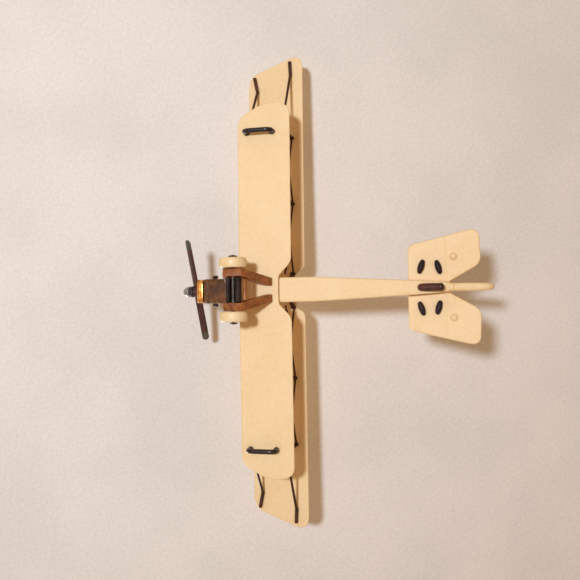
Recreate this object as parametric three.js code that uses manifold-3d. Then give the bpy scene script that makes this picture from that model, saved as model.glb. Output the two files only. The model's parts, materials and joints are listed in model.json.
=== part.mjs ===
// A palm-sized scale model of a two-bay biplane trainer, standing on its wheels and tail skid.
//
// Lengths are millimetres. Every piece is laid out in the aircraft's own frame: X to port, Y aft from
// the lower wing's leading edge, Z up from the lower wing's flat underside. The whole aircraft is then
// pitched nose up, so that its wheels and tail skid touch z = 0, and moved so that the origin is the
// middle of its footprint.
import * as THREE from "three";
import { mergeVertices } from "three/addons/utils/BufferGeometryUtils.js";
import Module from "manifold-3d";

const wasm = await Module();
wasm.setup();

// ---------------------------------------------------------------------------------------------------
// Driving dimensions
// ---------------------------------------------------------------------------------------------------

const UPPER = { halfSpan: 65, lead: -0.5, chord: 15.4, underside: 13.4, thickness: 1.5 };
const LOWER = { halfSpan: 48.7, lead: 0, chord: 13.9, underside: 0, thickness: 1.5 };
const EDGE_THICKNESS = 0.45; // of a wing at its leading and trailing edges
const DIHEDRAL = THREE.MathUtils.degToRad(1);
const GAP = 0.1; // between pieces that are glued or plugged together
const CLEARANCE = 0.2; // round what turns

const FRONT_SPAR_Y = 2.2;
const REAR_SPAR_Y = 11.6;
const INNER_STRUT_X = 24;
const OUTER_STRUT_X = 42.3;
const STRUT = { chord: 1.3, width: 0.8 };
const WIRE_RADIUS = 0.28;
const WIRE_OFFSET = STRUT.chord / 2 + WIRE_RADIUS + GAP; // from a spar's line to its wires

const AXLE = { y: 1.5, z: -10, radius: 0.45, halfLength: 8.45 };
const WHEEL = { radius: 3.43, width: 2.5, x: 6.6, bore: AXLE.radius + CLEARANCE };

const THRUST_Z = 4.5;
const PROPELLER = { radius: 15, y: -13, rest: THREE.MathUtils.degToRad(27.8) };
const PIN = { radius: 0.4, headRadius: 1.4, headHeight: 1.5, seat: 1.1 };
const HUB = { rear: 0.6, bladeFront: -0.75, front: -2.2, radius: 1.5, chamfer: 0.1 };
const HUB_BORE = PIN.radius + CLEARANCE;

const FUSELAGE = { halfWidth: 3.2, top: 7.6, deckTop: 8.8, firewall: -1.2, end: 53.5 };
const BELLY = { front: 10.7, rear: 44.3, frontZ: -0.2, slope: 0.1, thickness: 1.1 };
const TAIL_HALF_WIDTH = 1.35;
const COCKPITS = [
  { name: "front", y: 8.2 },
  { name: "rear", y: 18.4 },
];
const COCKPIT = { halfWidth: 1.5, halfLength: 1.9, floor: 3, rimRadius: 0.36 };

const STABILIZER = { underside: 6.2, thickness: 1.2, lead: 43 };
const SKID = { front: 45.9, rear: 51.2, rearZ: 1.5, radius: 0.85 };

const SIDES = [
  { name: "port", sign: 1 },
  { name: "starboard", sign: -1 },
];
const SPARS = [
  { name: "front", y: FRONT_SPAR_Y, wireSide: -1 },
  { name: "rear", y: REAR_SPAR_Y, wireSide: 1 },
];

// ---------------------------------------------------------------------------------------------------
// Materials
// ---------------------------------------------------------------------------------------------------

const paint = (color, roughness, metalness = 0) =>
  new THREE.MeshStandardMaterial({ color, roughness, metalness });

const CREAM = paint(0xf3d9ae, 0.45);
const FRAME_BROWN = paint(0x2b1a14, 0.45);
const GEAR_BROWN = paint(0x7d4322, 0.5);
const ENGINE_BROWN = paint(0x54402f, 0.55);
const BRASS = paint(0xc8823a, 0.4, 0.6);
const PROPELLER_WOOD = paint(0x3c201a, 0.4);
const BLACK_ENAMEL = paint(0x17151a, 0.25);
const STEEL = paint(0xc9c9c6, 0.25, 1);
const DARK_METAL = paint(0x3b3a3c, 0.4, 0.7);
const CORE_METAL = paint(0x2e2926, 0.6, 0.5);
const LEATHER = paint(0x5b3420, 0.7);
const CLEAR = paint(0xdfe6e6, 0.1);

// ---------------------------------------------------------------------------------------------------
// Solids
// ---------------------------------------------------------------------------------------------------

const X_AXIS = new THREE.Vector3(1, 0, 0);
const Y_AXIS = new THREE.Vector3(0, 1, 0);
const Z_AXIS = new THREE.Vector3(0, 0, 1);

// Turns an extrusion of a (y, z) outline so that its depth runs along X.
const ALONG_X = new THREE.Matrix4().makeBasis(Y_AXIS, Z_AXIS, X_AXIS);

// Turns an extrusion of a (z, x) outline so that its depth runs along Y.
const ALONG_Y = new THREE.Matrix4().makeBasis(Z_AXIS, X_AXIS, Y_AXIS);

// A closed three.js geometry as a manifold solid.
function solid(geometry) {
  const bare = geometry.index ? geometry.toNonIndexed() : geometry.clone();
  bare.deleteAttribute("normal");
  bare.deleteAttribute("uv");
  const merged = mergeVertices(bare, 1e-4);
  return new wasm.Manifold(
    new wasm.Mesh({
      numProp: 3,
      vertProperties: new Float32Array(merged.attributes.position.array),
      triVerts: new Uint32Array(merged.index.array),
    }),
  );
}

const joined = (...solids) => solids.reduce((whole, piece) => whole.add(piece));

// A manifold solid as a three.js geometry.
function geometryOf(manifold) {
  const mesh = manifold.getMesh();
  const geometry = new THREE.BufferGeometry();
  geometry.setAttribute("position", new THREE.BufferAttribute(mesh.vertProperties, 3));
  geometry.setIndex(new THREE.BufferAttribute(mesh.triVerts, 1));
  geometry.computeVertexNormals();
  return geometry;
}

const mirrored = (manifold) => manifold.mirror([1, 0, 0]);
const onSide = (manifold, side) => (side.sign > 0 ? manifold : mirrored(manifold));

function extrusion(shape, depth, curveSegments = 5) {
  return new THREE.ExtrudeGeometry(shape, { depth, bevelEnabled: false, curveSegments });
}

// A plan outline in (x, y), from z = low to z = high.
const slab = (shape, low, high, curveSegments) =>
  solid(extrusion(shape, high - low, curveSegments).translate(0, 0, low));

// A side outline in (y, z), from x = low to x = high.
const sideways = (shape, low, high, curveSegments) =>
  solid(extrusion(shape, high - low, curveSegments).applyMatrix4(ALONG_X).translate(low, 0, 0));

// A cross-section in (z, x), from y = low to y = high.
const lengthways = (shape, low, high, curveSegments) =>
  solid(extrusion(shape, high - low, curveSegments).applyMatrix4(ALONG_Y).translate(0, low, 0));

function block(low, high) {
  const size = high.map((value, i) => value - low[i]);
  const middle = high.map((value, i) => (value + low[i]) / 2);
  return solid(new THREE.BoxGeometry(...size).translate(...middle));
}

// A round rod between two points.
function rod(from, to, radius, sides = 8, endRadius = radius) {
  const start = new THREE.Vector3(...from);
  const run = new THREE.Vector3(...to).sub(start);
  const length = run.length();
  const geometry = new THREE.CylinderGeometry(endRadius, radius, length, sides);
  geometry.translate(0, length / 2, 0);
  geometry.applyQuaternion(new THREE.Quaternion().setFromUnitVectors(Y_AXIS, run.normalize()));
  return solid(geometry.translate(start.x, start.y, start.z));
}

const ball = (centre, radius, segments = 10) =>
  solid(new THREE.SphereGeometry(radius, segments, segments / 2).translate(...centre));

// A rod along several points, with a ball at each bend.
function bentRod(points, radius, sides = 8) {
  const pieces = points.slice(1).map((point, i) => rod(points[i], point, radius, sides));
  const bends = points.slice(1, -1).map((point) => ball(point, radius, sides));
  return joined(...pieces, ...bends);
}

// A round rod with half-ball ends.
function capsule(from, to, radius, segments = 8) {
  return joined(
    rod(from, to, radius, segments),
    ball(from, radius, segments),
    ball(to, radius, segments),
  );
}

// A shape from points, each given as [u, v].
const outline = (points) => new THREE.Shape(points.map(([u, v]) => new THREE.Vector2(u, v)));

function roundedRectangle(low, high, radius) {
  const shape = new THREE.Shape();
  shape.moveTo(low[0] + radius, low[1]);
  shape.lineTo(high[0] - radius, low[1]);
  shape.absarc(high[0] - radius, low[1] + radius, radius, -Math.PI / 2, 0);
  shape.lineTo(high[0], high[1] - radius);
  shape.absarc(high[0] - radius, high[1] - radius, radius, 0, Math.PI / 2);
  shape.lineTo(low[0] + radius, high[1]);
  shape.absarc(low[0] + radius, high[1] - radius, radius, Math.PI / 2, Math.PI);
  shape.lineTo(low[0], low[1] + radius);
  shape.absarc(low[0] + radius, low[1] + radius, radius, Math.PI, Math.PI * 1.5);
  return shape;
}

// ---------------------------------------------------------------------------------------------------
// The aircraft's tree
// ---------------------------------------------------------------------------------------------------

const aircraft = new THREE.Group();
const propellerShaft = new THREE.Group();
propellerShaft.position.set(0, PROPELLER.y, THRUST_Z);
propellerShaft.rotation.y = PROPELLER.rest;
aircraft.add(propellerShaft);

function piece(name, manifold, material, parent = aircraft) {
  const mesh = new THREE.Mesh(geometryOf(manifold), material);
  mesh.name = name;
  parent.add(mesh);
  return mesh;
}

// ---------------------------------------------------------------------------------------------------
// Wings
// ---------------------------------------------------------------------------------------------------

// Height of a wing's top above its flat underside, at a share of its chord from the leading edge.
const camber = (wing, share) =>
  EDGE_THICKNESS + (wing.thickness - EDGE_THICKNESS) * Math.sin(Math.PI * Math.sqrt(share));

// Height of a wing's underside at x.
const undersideAt = (wing, x) => wing.underside + Math.abs(x) * Math.tan(DIHEDRAL);

// Height of a wing's top at (x, y).
const topAt = (wing, x, y) => undersideAt(wing, x) + camber(wing, (y - wing.lead) / wing.chord);

function airfoil(wing) {
  const steps = 12;
  const points = [[wing.lead, 0]];
  for (let i = 0; i <= steps; i++) {
    const share = (i / steps) ** 1.5;
    points.push([wing.lead + share * wing.chord, camber(wing, share)]);
  }
  points.push([wing.lead + wing.chord, 0]);
  return outline(points.reverse());
}

// A wing is its airfoil along each half span, raised by the dihedral, inside its plan outline.
function wing(spec, plan) {
  const length = spec.halfSpan + 3;
  const half = sideways(airfoil(spec), 0, length)
    .rotate([0, -THREE.MathUtils.radToDeg(DIHEDRAL), 0])
    .translate([0, 0, spec.underside]);
  const blank = slab(plan, spec.underside - 3, spec.underside + 6, 5);
  const port = half.intersect(blank);
  return joined(port, mirrored(port));
}

// Raked tips, longer at the trailing edge, and a shallow cut-out over the rear cockpit.
function upperPlan() {
  const { lead, chord, halfSpan } = UPPER;
  const trail = lead + chord;
  const cutout = { halfWidth: 7.4, depth: 2.4 };
  const shape = new THREE.Shape();
  shape.moveTo(0, lead);
  shape.lineTo(56, lead);
  shape.quadraticCurveTo(60.2, lead, 61.2, lead + 2.3);
  shape.lineTo(halfSpan - 0.4, lead + 11.2);
  shape.quadraticCurveTo(halfSpan + 1.3, trail, halfSpan - 3.2, trail);
  shape.lineTo(cutout.halfWidth, trail);
  shape.quadraticCurveTo(cutout.halfWidth - 1.4, trail, 5.4, trail - cutout.depth / 2);
  shape.quadraticCurveTo(4.9, trail - cutout.depth, 3.4, trail - cutout.depth);
  shape.lineTo(0, trail - cutout.depth);
  return shape;
}

// Rounded tips, fullest behind mid-chord, and a root that curves forward to meet the belly.
function lowerPlan() {
  const { lead, chord, halfSpan } = LOWER;
  const trail = lead + chord;
  const shape = new THREE.Shape();
  shape.moveTo(0, lead);
  shape.lineTo(43, lead);
  shape.quadraticCurveTo(45.6, lead + 0.2, 46.6, lead + 3);
  shape.quadraticCurveTo(halfSpan - 0.1, lead + 6, halfSpan, lead + 9);
  shape.bezierCurveTo(halfSpan, trail - 1.6, 47.6, trail, 45.4, trail);
  shape.lineTo(8.4, trail);
  shape.bezierCurveTo(6.4, trail, 5.4, trail - 2, 3.5, BELLY.front - GAP);
  shape.lineTo(0, BELLY.front - GAP);
  return shape;
}

piece("upper_wing", wing(UPPER, upperPlan()), CREAM);
piece("lower_wing", wing(LOWER, lowerPlan()), CREAM);

// ---------------------------------------------------------------------------------------------------
// Interplane struts, rigging, tip braces, cabane struts and king posts
// ---------------------------------------------------------------------------------------------------

const strutSection = (() => {
  const shape = new THREE.Shape();
  shape.absellipse(0, 0, STRUT.width / 2, STRUT.chord / 2, 0, 2 * Math.PI);
  return shape;
})();

// A strut of oval section between two points, with level ends.
function strut(foot, head) {
  const height = head[2] - foot[2];
  const lean = new THREE.Matrix4().makeShear(0, 0, 0, 0, 0, 0);
  lean.elements[8] = (head[0] - foot[0]) / height;
  lean.elements[9] = (head[1] - foot[1]) / height;
  return solid(extrusion(strutSection, height, 5).applyMatrix4(lean).translate(...foot));
}

const bayLow = (x, y) => topAt(LOWER, x, y) + GAP;
const bayHigh = (x) => undersideAt(UPPER, x) - GAP;

for (const side of SIDES) {
  for (const spar of SPARS) {
    for (const [place, x] of [["inner", INNER_STRUT_X], ["outer", OUTER_STRUT_X]]) {
      const low = bayLow(x + STRUT.width, spar.y - STRUT.chord / 2) + GAP;
      const upright = strut([x, spar.y, low], [x, spar.y, bayHigh(x - STRUT.width)]);
      piece(`strut_${place}_${spar.name}_${side.name}`, onSide(upright, side), FRAME_BROWN);
    }
  }
}

// Crossed wires in the inner and outer bays of one spar, which meet on the inner strut's line.
function rigging(spar) {
  const y = spar.y + spar.wireSide * WIRE_OFFSET;
  const stations = [4.2, INNER_STRUT_X, OUTER_STRUT_X];
  const inset = WIRE_RADIUS + 2 * GAP;
  const low = stations.map((x) => [x, y, bayLow(x, FRONT_SPAR_Y) + inset]);
  const high = stations.map((x) => [x, y, bayHigh(x) - inset]);
  const wires = [0, 1].flatMap((i) => [
    rod(low[i], high[i + 1], WIRE_RADIUS, 6),
    rod(high[i], low[i + 1], WIRE_RADIUS, 6),
  ]);
  const eyes = [low[1], high[1], low[2], high[2]].map((point) => ball(point, WIRE_RADIUS * 1.25, 6));
  return joined(...wires, ...eyes);
}

// A brace from the outer strut's foot to the overhanging tip, then flat along the tip's underside.
function tipBrace(spar, kneeX, endX, endY) {
  const y = spar.y;
  const bar = { radius: 0.4, halfWidth: 0.55, thickness: 0.7 };
  const footX = OUTER_STRUT_X + STRUT.width / 2 + bar.radius + 2 * GAP;
  const foot = [footX, y, bayLow(footX, y) + 1.1];
  const knee = [kneeX, y, bayHigh(kneeX) - bar.radius];
  const pad = outline([
    [kneeX - 0.6, y - bar.halfWidth],
    [endX, endY - bar.halfWidth],
    [endX + 0.1, endY + bar.halfWidth],
    [kneeX - 0.6, y + bar.halfWidth],
  ]);
  const under = bayHigh(kneeX - 0.6);
  return joined(rod(foot, knee, bar.radius, 6), slab(pad, under - bar.thickness, under));
}

const BRACES = [
  { spar: SPARS[0], kneeX: 56, endX: 59.9, endY: 1.3 },
  { spar: SPARS[1], kneeX: 60.2, endX: 63.7, endY: 11.4 },
];

// Two leaning posts above the outer struts, joined by a ridge wire.
function kingPost() {
  const height = 4.6;
  const x = OUTER_STRUT_X;
  const posts = SPARS.map((spar) => {
    const foot = topAt(UPPER, x + 0.5, FRONT_SPAR_Y) + GAP;
    return { low: [x, spar.y, foot], high: [x, spar.y, foot + height] };
  });
  const [front, rear] = posts;
  return joined(
    rod(front.low, front.high, 0.45, 8, 0.35),
    rod(rear.low, rear.high, 0.45, 8, 0.35),
    rod([x, front.high[1], front.high[2] - 0.35], [x, rear.high[1], rear.high[2] - 0.35], 0.25, 6),
  );
}

for (const side of SIDES) {
  for (const spar of SPARS) {
    piece(`rigging_${spar.name}_${side.name}`, onSide(rigging(spar), side), FRAME_BROWN);
    const head = [4.6, spar.y, bayHigh(3.8)];
    const foot = [2.5, spar.y, FUSELAGE.deckTop + 2 * GAP];
    piece(`cabane_strut_${spar.name}_${side.name}`, onSide(strut(foot, head), side), FRAME_BROWN);
  }
  for (const { spar, kneeX, endX, endY } of BRACES) {
    const brace = tipBrace(spar, kneeX, endX, endY);
    piece(`tip_brace_${spar.name}_${side.name}`, onSide(brace, side), FRAME_BROWN);
  }
  piece(`king_post_${side.name}`, onSide(kingPost(), side), FRAME_BROWN);
}

// ---------------------------------------------------------------------------------------------------
// Fuselage
// ---------------------------------------------------------------------------------------------------

const bellyAt = (y) => BELLY.frontZ + (y - BELLY.front) * BELLY.slope;

// Half width of the fuselage at y, straight from the rear cockpit to the stern post.
const STRAIGHT_END = 20;
function halfWidthAt(y) {
  const share = Math.max(0, (y - STRAIGHT_END) / (FUSELAGE.end - STRAIGHT_END));
  return THREE.MathUtils.lerp(FUSELAGE.halfWidth, TAIL_HALF_WIDTH, share);
}

// Plan of the fuselage, from y = front to y = rear.
function fuselagePlan(front, rear) {
  const knots = [front, STRAIGHT_END, rear];
  const port = knots.map((y) => [halfWidthAt(y), y]);
  const starboard = port.map(([x, y]) => [-x, y]).reverse();
  return outline([...port, ...starboard]);
}

function cockpitPlan(y) {
  const shape = new THREE.Shape();
  shape.absellipse(0, y, COCKPIT.halfWidth, COCKPIT.halfLength, 0, 2 * Math.PI);
  return shape;
}

function fuselage() {
  const skin = BELLY.thickness + GAP;
  const wingTop = LOWER.thickness + 2 * GAP;
  const { firewall, top, deckTop, end } = FUSELAGE;
  const deckStep = STABILIZER.lead - 0.6;
  const side = outline([
    [firewall, 0.5],
    [-GAP, 0.5],
    [-GAP, wingTop],
    [BELLY.front, wingTop],
    [BELLY.front + GAP, bellyAt(BELLY.front) + skin],
    [BELLY.rear + GAP, bellyAt(BELLY.rear) + skin],
    [BELLY.rear + GAP, bellyAt(BELLY.rear)],
    [end, bellyAt(end)],
    [end, STABILIZER.underside - GAP],
    [deckStep, STABILIZER.underside - GAP],
    [deckStep, top - 0.3],
    [STRAIGHT_END, top],
    [firewall, top],
  ]);
  const box = sideways(side, -4, 4).intersect(slab(fuselagePlan(firewall, end), -2, 12));
  const deckSide = FUSELAGE.halfWidth - GAP;
  const deckSection = outline([
    [top - 1, deckSide],
    [top, deckSide],
    [deckTop, deckSide - 1],
    [deckTop, 1 - deckSide],
    [top, -deckSide],
    [top - 1, -deckSide],
  ]);
  const deck = lengthways(deckSection, firewall, STRAIGHT_END + 2);
  const turtleLength = deckStep - STRAIGHT_END - 1;
  const turtleBack = solid(
    new THREE.CylinderGeometry(1.6, 3.0, turtleLength, 20)
      .scale(1, 1, 0.42)
      .translate(0, STRAIGHT_END + 1 + turtleLength / 2, top - 0.3),
  );
  const holes = COCKPITS.map(({ y }) => slab(cockpitPlan(y), COCKPIT.floor, deckTop + 1));
  return holes.reduce((body, hole) => body.subtract(hole), joined(box, deck, turtleBack));
}

function bellyPan() {
  const { front, rear, thickness } = BELLY;
  const side = outline([
    [front, bellyAt(front)],
    [rear, bellyAt(rear)],
    [rear, bellyAt(rear) + thickness],
    [front, bellyAt(front) + thickness],
  ]);
  const nose = 0.8;
  const plan = new THREE.Shape();
  plan.moveTo(-halfWidthAt(rear), rear);
  plan.lineTo(-FUSELAGE.halfWidth, STRAIGHT_END);
  plan.lineTo(-FUSELAGE.halfWidth, front + nose);
  plan.quadraticCurveTo(-FUSELAGE.halfWidth, front, -FUSELAGE.halfWidth + nose, front);
  plan.lineTo(FUSELAGE.halfWidth - nose, front);
  plan.quadraticCurveTo(FUSELAGE.halfWidth, front, FUSELAGE.halfWidth, front + nose);
  plan.lineTo(FUSELAGE.halfWidth, STRAIGHT_END);
  plan.lineTo(halfWidthAt(rear), rear);
  return sideways(side, -4, 4).intersect(slab(plan, -3, 8, 4));
}

piece("fuselage", fuselage(), CREAM);
piece("belly_pan", bellyPan(), CREAM);

for (const { name, y } of COCKPITS) {
  const overlap = 0.25;
  const rim = new THREE.TorusGeometry(1, COCKPIT.rimRadius / 2, 6, 20);
  rim.scale(COCKPIT.halfWidth + overlap, COCKPIT.halfLength + overlap, 2);
  rim.translate(0, y, FUSELAGE.deckTop + COCKPIT.rimRadius + GAP / 2);
  piece(`coaming_${name}`, solid(rim), LEATHER);

  const pane = new THREE.Shape();
  pane.moveTo(-1.3, 0);
  pane.lineTo(1.3, 0);
  pane.lineTo(1.1, 1.1);
  pane.quadraticCurveTo(0, 1.7, -1.1, 1.1);
  const screen = extrusion(pane, 0.25, 4);
  screen.rotateX(THREE.MathUtils.degToRad(58));
  screen.translate(0, y - COCKPIT.halfLength - 0.9, FUSELAGE.deckTop + GAP + 0.15);
  piece(`windscreen_${name}`, solid(screen), CLEAR);
}

// ---------------------------------------------------------------------------------------------------
// Engine and nose
// ---------------------------------------------------------------------------------------------------

const ENGINE = { front: -9.9, rear: FUSELAGE.firewall - GAP, bottom: 0.8, top: 5, halfWidth: 3.2 };
const CYLINDER = { count: 4, radius: 0.85, length: 2.7, lean: THREE.MathUtils.degToRad(30) };

// A finned sump and crankcase.
function engineBlock() {
  const { front, rear, bottom, top, halfWidth } = ENGINE;
  const section = outline([
    [bottom, halfWidth - 0.7],
    [bottom + 0.8, halfWidth],
    [bottom + 2.6, halfWidth],
    [top, 1.9],
    [top, -1.9],
    [bottom + 2.6, -halfWidth],
    [bottom + 0.8, -halfWidth],
    [bottom, -halfWidth + 0.7],
  ]);
  const crankcase = lengthways(section, front, rear);
  const grooves = [];
  const pitch = 1.6;
  for (let y = front + pitch; y < rear - 1; y += pitch) {
    grooves.push(block([-4, y, bottom - 1], [4, y + 0.4, bottom + 0.25]));
  }
  return grooves.reduce((body, groove) => body.subtract(groove), crankcase);
}

// One leaning bank of cylinders on a common base, each with its head.
function cylinderBank() {
  const pitch = 2.05;
  const direction = [Math.sin(CYLINDER.lean), 0, Math.cos(CYLINDER.lean)];
  const along = (y, distance) => [
    0.95 + direction[0] * distance,
    y,
    ENGINE.top + GAP + 0.5 + direction[2] * distance,
  ];
  const first = ENGINE.front + 1.1;
  const last = first + pitch * (CYLINDER.count - 1);
  const base = rod(along(first - 0.7, 0.1), along(last + 0.7, 0.1), 0.55, 8);
  const cylinders = Array.from({ length: CYLINDER.count }, (_, i) => {
    const y = first + pitch * i;
    return joined(
      rod(along(y, 0), along(y, CYLINDER.length - 0.6), CYLINDER.radius, 10),
      rod(along(y, CYLINDER.length - 0.7), along(y, CYLINDER.length), CYLINDER.radius * 0.75, 10),
    );
  });
  return joined(base, ...cylinders);
}

// A short pipe that turns down beside the crankcase.
function exhaustPipe() {
  const x = ENGINE.halfWidth + 0.55;
  const y = -8;
  return joined(
    rod([x, y, 5.6], [x, y, 3.4], 0.45, 8),
    ball([x, y, 5.6], 0.45, 8),
    rod([x, y, 3.6], [x, y + 1.5, 2.6], 0.45, 8),
  );
}

piece("engine_block", engineBlock(), ENGINE_BROWN);
for (const side of SIDES) {
  piece(`cylinder_bank_${side.name}`, onSide(cylinderBank(), side), ENGINE_BROWN);
  piece(`exhaust_pipe_${side.name}`, onSide(exhaustPipe(), side), BLACK_ENAMEL);
}

const RADIATOR = { front: -11.75, rear: -10.1, bottom: 0.7, top: 8.6, halfWidth: 3.15, rim: 0.75 };

function radiatorShell() {
  const { front, rear, bottom, top, halfWidth, rim } = RADIATOR;
  const outer = roundedRectangle([bottom, -halfWidth], [top, halfWidth], 1.3);
  const low = [bottom + rim, -halfWidth + rim];
  const inner = roundedRectangle(low, [top - rim, halfWidth - rim], 0.8);
  return lengthways(outer, front, rear, 4).subtract(lengthways(inner, front - 1, rear + 1, 4));
}

function radiatorCore() {
  const { front, rear, bottom, top, halfWidth, rim } = RADIATOR;
  const inset = rim + GAP;
  const low = [bottom + inset, -halfWidth + inset];
  const inner = roundedRectangle(low, [top - inset, halfWidth - inset], 0.75);
  const holeEnd = front + PIN.seat + GAP;
  const shaftHole = rod([0, front - 1, THRUST_Z], [0, holeEnd, THRUST_Z], PIN.radius + GAP, 12);
  return lengthways(inner, front + 0.4, rear - 0.1, 4).subtract(shaftHole);
}

piece("radiator_shell", radiatorShell(), BRASS);
piece("radiator_core", radiatorCore(), CORE_METAL);

// ---------------------------------------------------------------------------------------------------
// Propeller, in its shaft's frame: the shaft runs along Y and the blades along X
// ---------------------------------------------------------------------------------------------------

// Half chord, half thickness and pitch in degrees of a blade, at its root and at its tip.
const BLADE = { chord: [0.88, 0.95], thickness: [0.6, 0.36], pitch: [70, 63], roundFrom: 0.94 };

// One blade: an oval section that changes from root to tip, with a rounded end.
function blade() {
  const section = new THREE.Shape();
  section.absellipse(0, 0, 1, 1, 0, 2 * Math.PI);
  const settings = { depth: 1, steps: 12, bevelEnabled: false, curveSegments: 6 };
  const bar = new THREE.ExtrudeGeometry(section, settings);
  const position = bar.attributes.position;
  const vertex = new THREE.Vector3();
  for (let i = 0; i < position.count; i++) {
    vertex.fromBufferAttribute(position, i);
    const share = vertex.z;
    const pastRound = Math.max(0, (share - BLADE.roundFrom) / (1 - BLADE.roundFrom));
    const round = Math.sqrt(Math.max(0.02, 1 - pastRound ** 2));
    const chord = THREE.MathUtils.lerp(...BLADE.chord, Math.sqrt(share)) * round;
    const thickness = THREE.MathUtils.lerp(...BLADE.thickness, share) * Math.sqrt(round);
    const pitch = THREE.MathUtils.degToRad(THREE.MathUtils.lerp(...BLADE.pitch, Math.sqrt(share)));
    const across = vertex.x * chord;
    const through = vertex.y * thickness;
    position.setXYZ(
      i,
      share * PROPELLER.radius,
      across * Math.sin(pitch) + through * Math.cos(pitch),
      through * Math.sin(pitch) - across * Math.cos(pitch),
    );
  }
  return solid(bar);
}

// A profile of [radius, distance] points turned about Y.
function turned(profile, segments = 20) {
  const points = profile.map(([radius, y]) => new THREE.Vector2(radius, y));
  return solid(new THREE.LatheGeometry(points, segments));
}

function propeller() {
  const port = blade();
  const starboard = port.rotate([0, 180, 0]);
  const boss = rod([0, HUB.rear, 0], [0, HUB.bladeFront, 0], HUB.radius - GAP / 2, 20);
  const bore = rod([0, HUB.rear + 1, 0], [0, HUB.bladeFront - 1, 0], HUB_BORE, 12);
  const swept = joined(port, starboard, boss);
  // Near the hub, the blades stay as deep as the boss.
  const nearHub = 2.2;
  const wide = rod([0, HUB.bladeFront - 1, 0], [0, HUB.rear + 1, 0], nearHub, 20);
  const keep = block([-nearHub, HUB.bladeFront, -nearHub], [nearHub, HUB.rear, nearHub]);
  return swept.subtract(wide.subtract(keep)).subtract(bore);
}

piece("propeller", propeller(), PROPELLER_WOOD, propellerShaft);
piece(
  "propeller_hub",
  turned([
    [HUB_BORE, HUB.front],
    [HUB.radius - HUB.chamfer, HUB.front],
    [HUB.radius, HUB.front + HUB.chamfer],
    [HUB.radius, HUB.bladeFront - GAP],
    [HUB_BORE, HUB.bladeFront - GAP],
    [HUB_BORE, HUB.front],
  ]),
  DARK_METAL,
  propellerShaft,
);

// The pin that the propeller turns on, with a domed head in front of the hub.
function propellerPin() {
  const headBack = PROPELLER.y + HUB.front - CLEARANCE;
  const length = RADIATOR.front + PIN.seat - headBack;
  const profile = [
    [0, -length],
    [PIN.radius, -length],
    [PIN.radius, 0],
    [PIN.headRadius, 0],
  ];
  for (const turn of [20, 50, 90].map(THREE.MathUtils.degToRad)) {
    profile.push([PIN.headRadius * Math.cos(turn), PIN.headHeight * Math.sin(turn)]);
  }
  return turned(profile, 14).rotate([180, 0, 0]).translate([0, headBack, THRUST_Z]);
}

piece("propeller_pin", propellerPin(), STEEL);

// ---------------------------------------------------------------------------------------------------
// Landing gear
// ---------------------------------------------------------------------------------------------------

// A V-shaped leg: its foot carries the axle, its front and rear legs rise to the fuselage.
function gearLegs() {
  const footZ = AXLE.z - 0.9;
  const topZ = -GAP - 0.1;
  const thickness = 2;
  const legs = outline([
    [-1.1, footZ + 0.6],
    [-0.7, footZ],
    [3.9, footZ],
    [4.4, footZ + 0.9],
    [9.1, topZ],
    [7.4, topZ],
    [2.9, AXLE.z + 1.7],
    [0.6, AXLE.z + 1.7],
    [-1.0, topZ],
    [-2.9, topZ],
    [-1.4, AXLE.z + 1],
  ]);
  const lean = THREE.MathUtils.degToRad(12);
  const hole = rod([-3, AXLE.y, 0], [3, AXLE.y, 0], AXLE.radius + GAP, 10);
  const upright = sideways(legs, -thickness / 2, thickness / 2).translate([0, 0, -AXLE.z]);
  const leaned = upright.rotate([0, -THREE.MathUtils.radToDeg(lean), 0]).subtract(hole);
  const cut = block([-9, -9, 0], [9, 19, 20]).translate([0, 0, -AXLE.z + topZ]);
  return leaned.subtract(cut).translate([4.1, 0, AXLE.z]);
}

const axleRod = rod([-AXLE.halfLength, AXLE.y, AXLE.z], [AXLE.halfLength, AXLE.y, AXLE.z], AXLE.radius, 14);
piece("axle", axleRod, STEEL);

const SPREADER = { z: AXLE.z - 0.35, halfLength: 2.9 };
const SPREADER_BARS = [
  { name: "front", y: 0.3, radius: 0.62 },
  { name: "rear", y: 2.85, radius: 0.75 },
];
for (const { name, y, radius } of SPREADER_BARS) {
  const bar = rod([-SPREADER.halfLength, y, SPREADER.z], [SPREADER.halfLength, y, SPREADER.z], radius, 12);
  piece(`spreader_bar_${name}`, bar, BLACK_ENAMEL);
}

// A thin plate over the axle, between the legs.
function axleFairing() {
  const low = [-0.5, AXLE.z + AXLE.radius + GAP];
  const high = [3.4, low[1] + 0.5];
  const halfLength = 2.75;
  return sideways(roundedRectangle(low, high, 0.2), -halfLength, halfLength, 3);
}

piece("axle_fairing", axleFairing(), BLACK_ENAMEL);

function crossBrace() {
  const y = 4.15;
  const z = AXLE.z + 1.1;
  const halfLength = 2.6;
  return rod([-halfLength, y, z], [halfLength, y, z], 0.62, 12);
}

piece("gear_cross_brace", crossBrace(), GEAR_BROWN);

// A disc wheel with a rounded tyre, turned about X through its own origin.
function wheel() {
  const { radius, width, bore } = WHEEL;
  const half = width / 2;
  const profile = [
    [bore, -half * 0.8],
    [radius * 0.35, -half * 0.8],
    [radius * 0.72, -half * 0.6],
    [radius * 0.78, -half],
    [radius * 0.93, -half * 0.8],
    [radius, -half * 0.3],
    [radius, half * 0.3],
    [radius * 0.93, half * 0.8],
    [radius * 0.78, half],
    [radius * 0.72, half * 0.6],
    [radius * 0.35, half * 0.8],
    [bore, half * 0.8],
    [bore, -half * 0.8],
  ];
  return turned(profile, 28).rotate([0, 0, -90]);
}

// A cap on the axle's port end, which keeps the wheel on.
function hubCap() {
  const from = WHEEL.x + WHEEL.width / 2 + CLEARANCE;
  const cap = rod([from, AXLE.y, AXLE.z], [from + 0.35, AXLE.y, AXLE.z], 1.1, 14, 0.9);
  const through = [AXLE.halfLength + GAP / 2, AXLE.y, AXLE.z];
  return cap.subtract(rod([0, AXLE.y, AXLE.z], through, AXLE.radius + GAP, 14));
}

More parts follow.
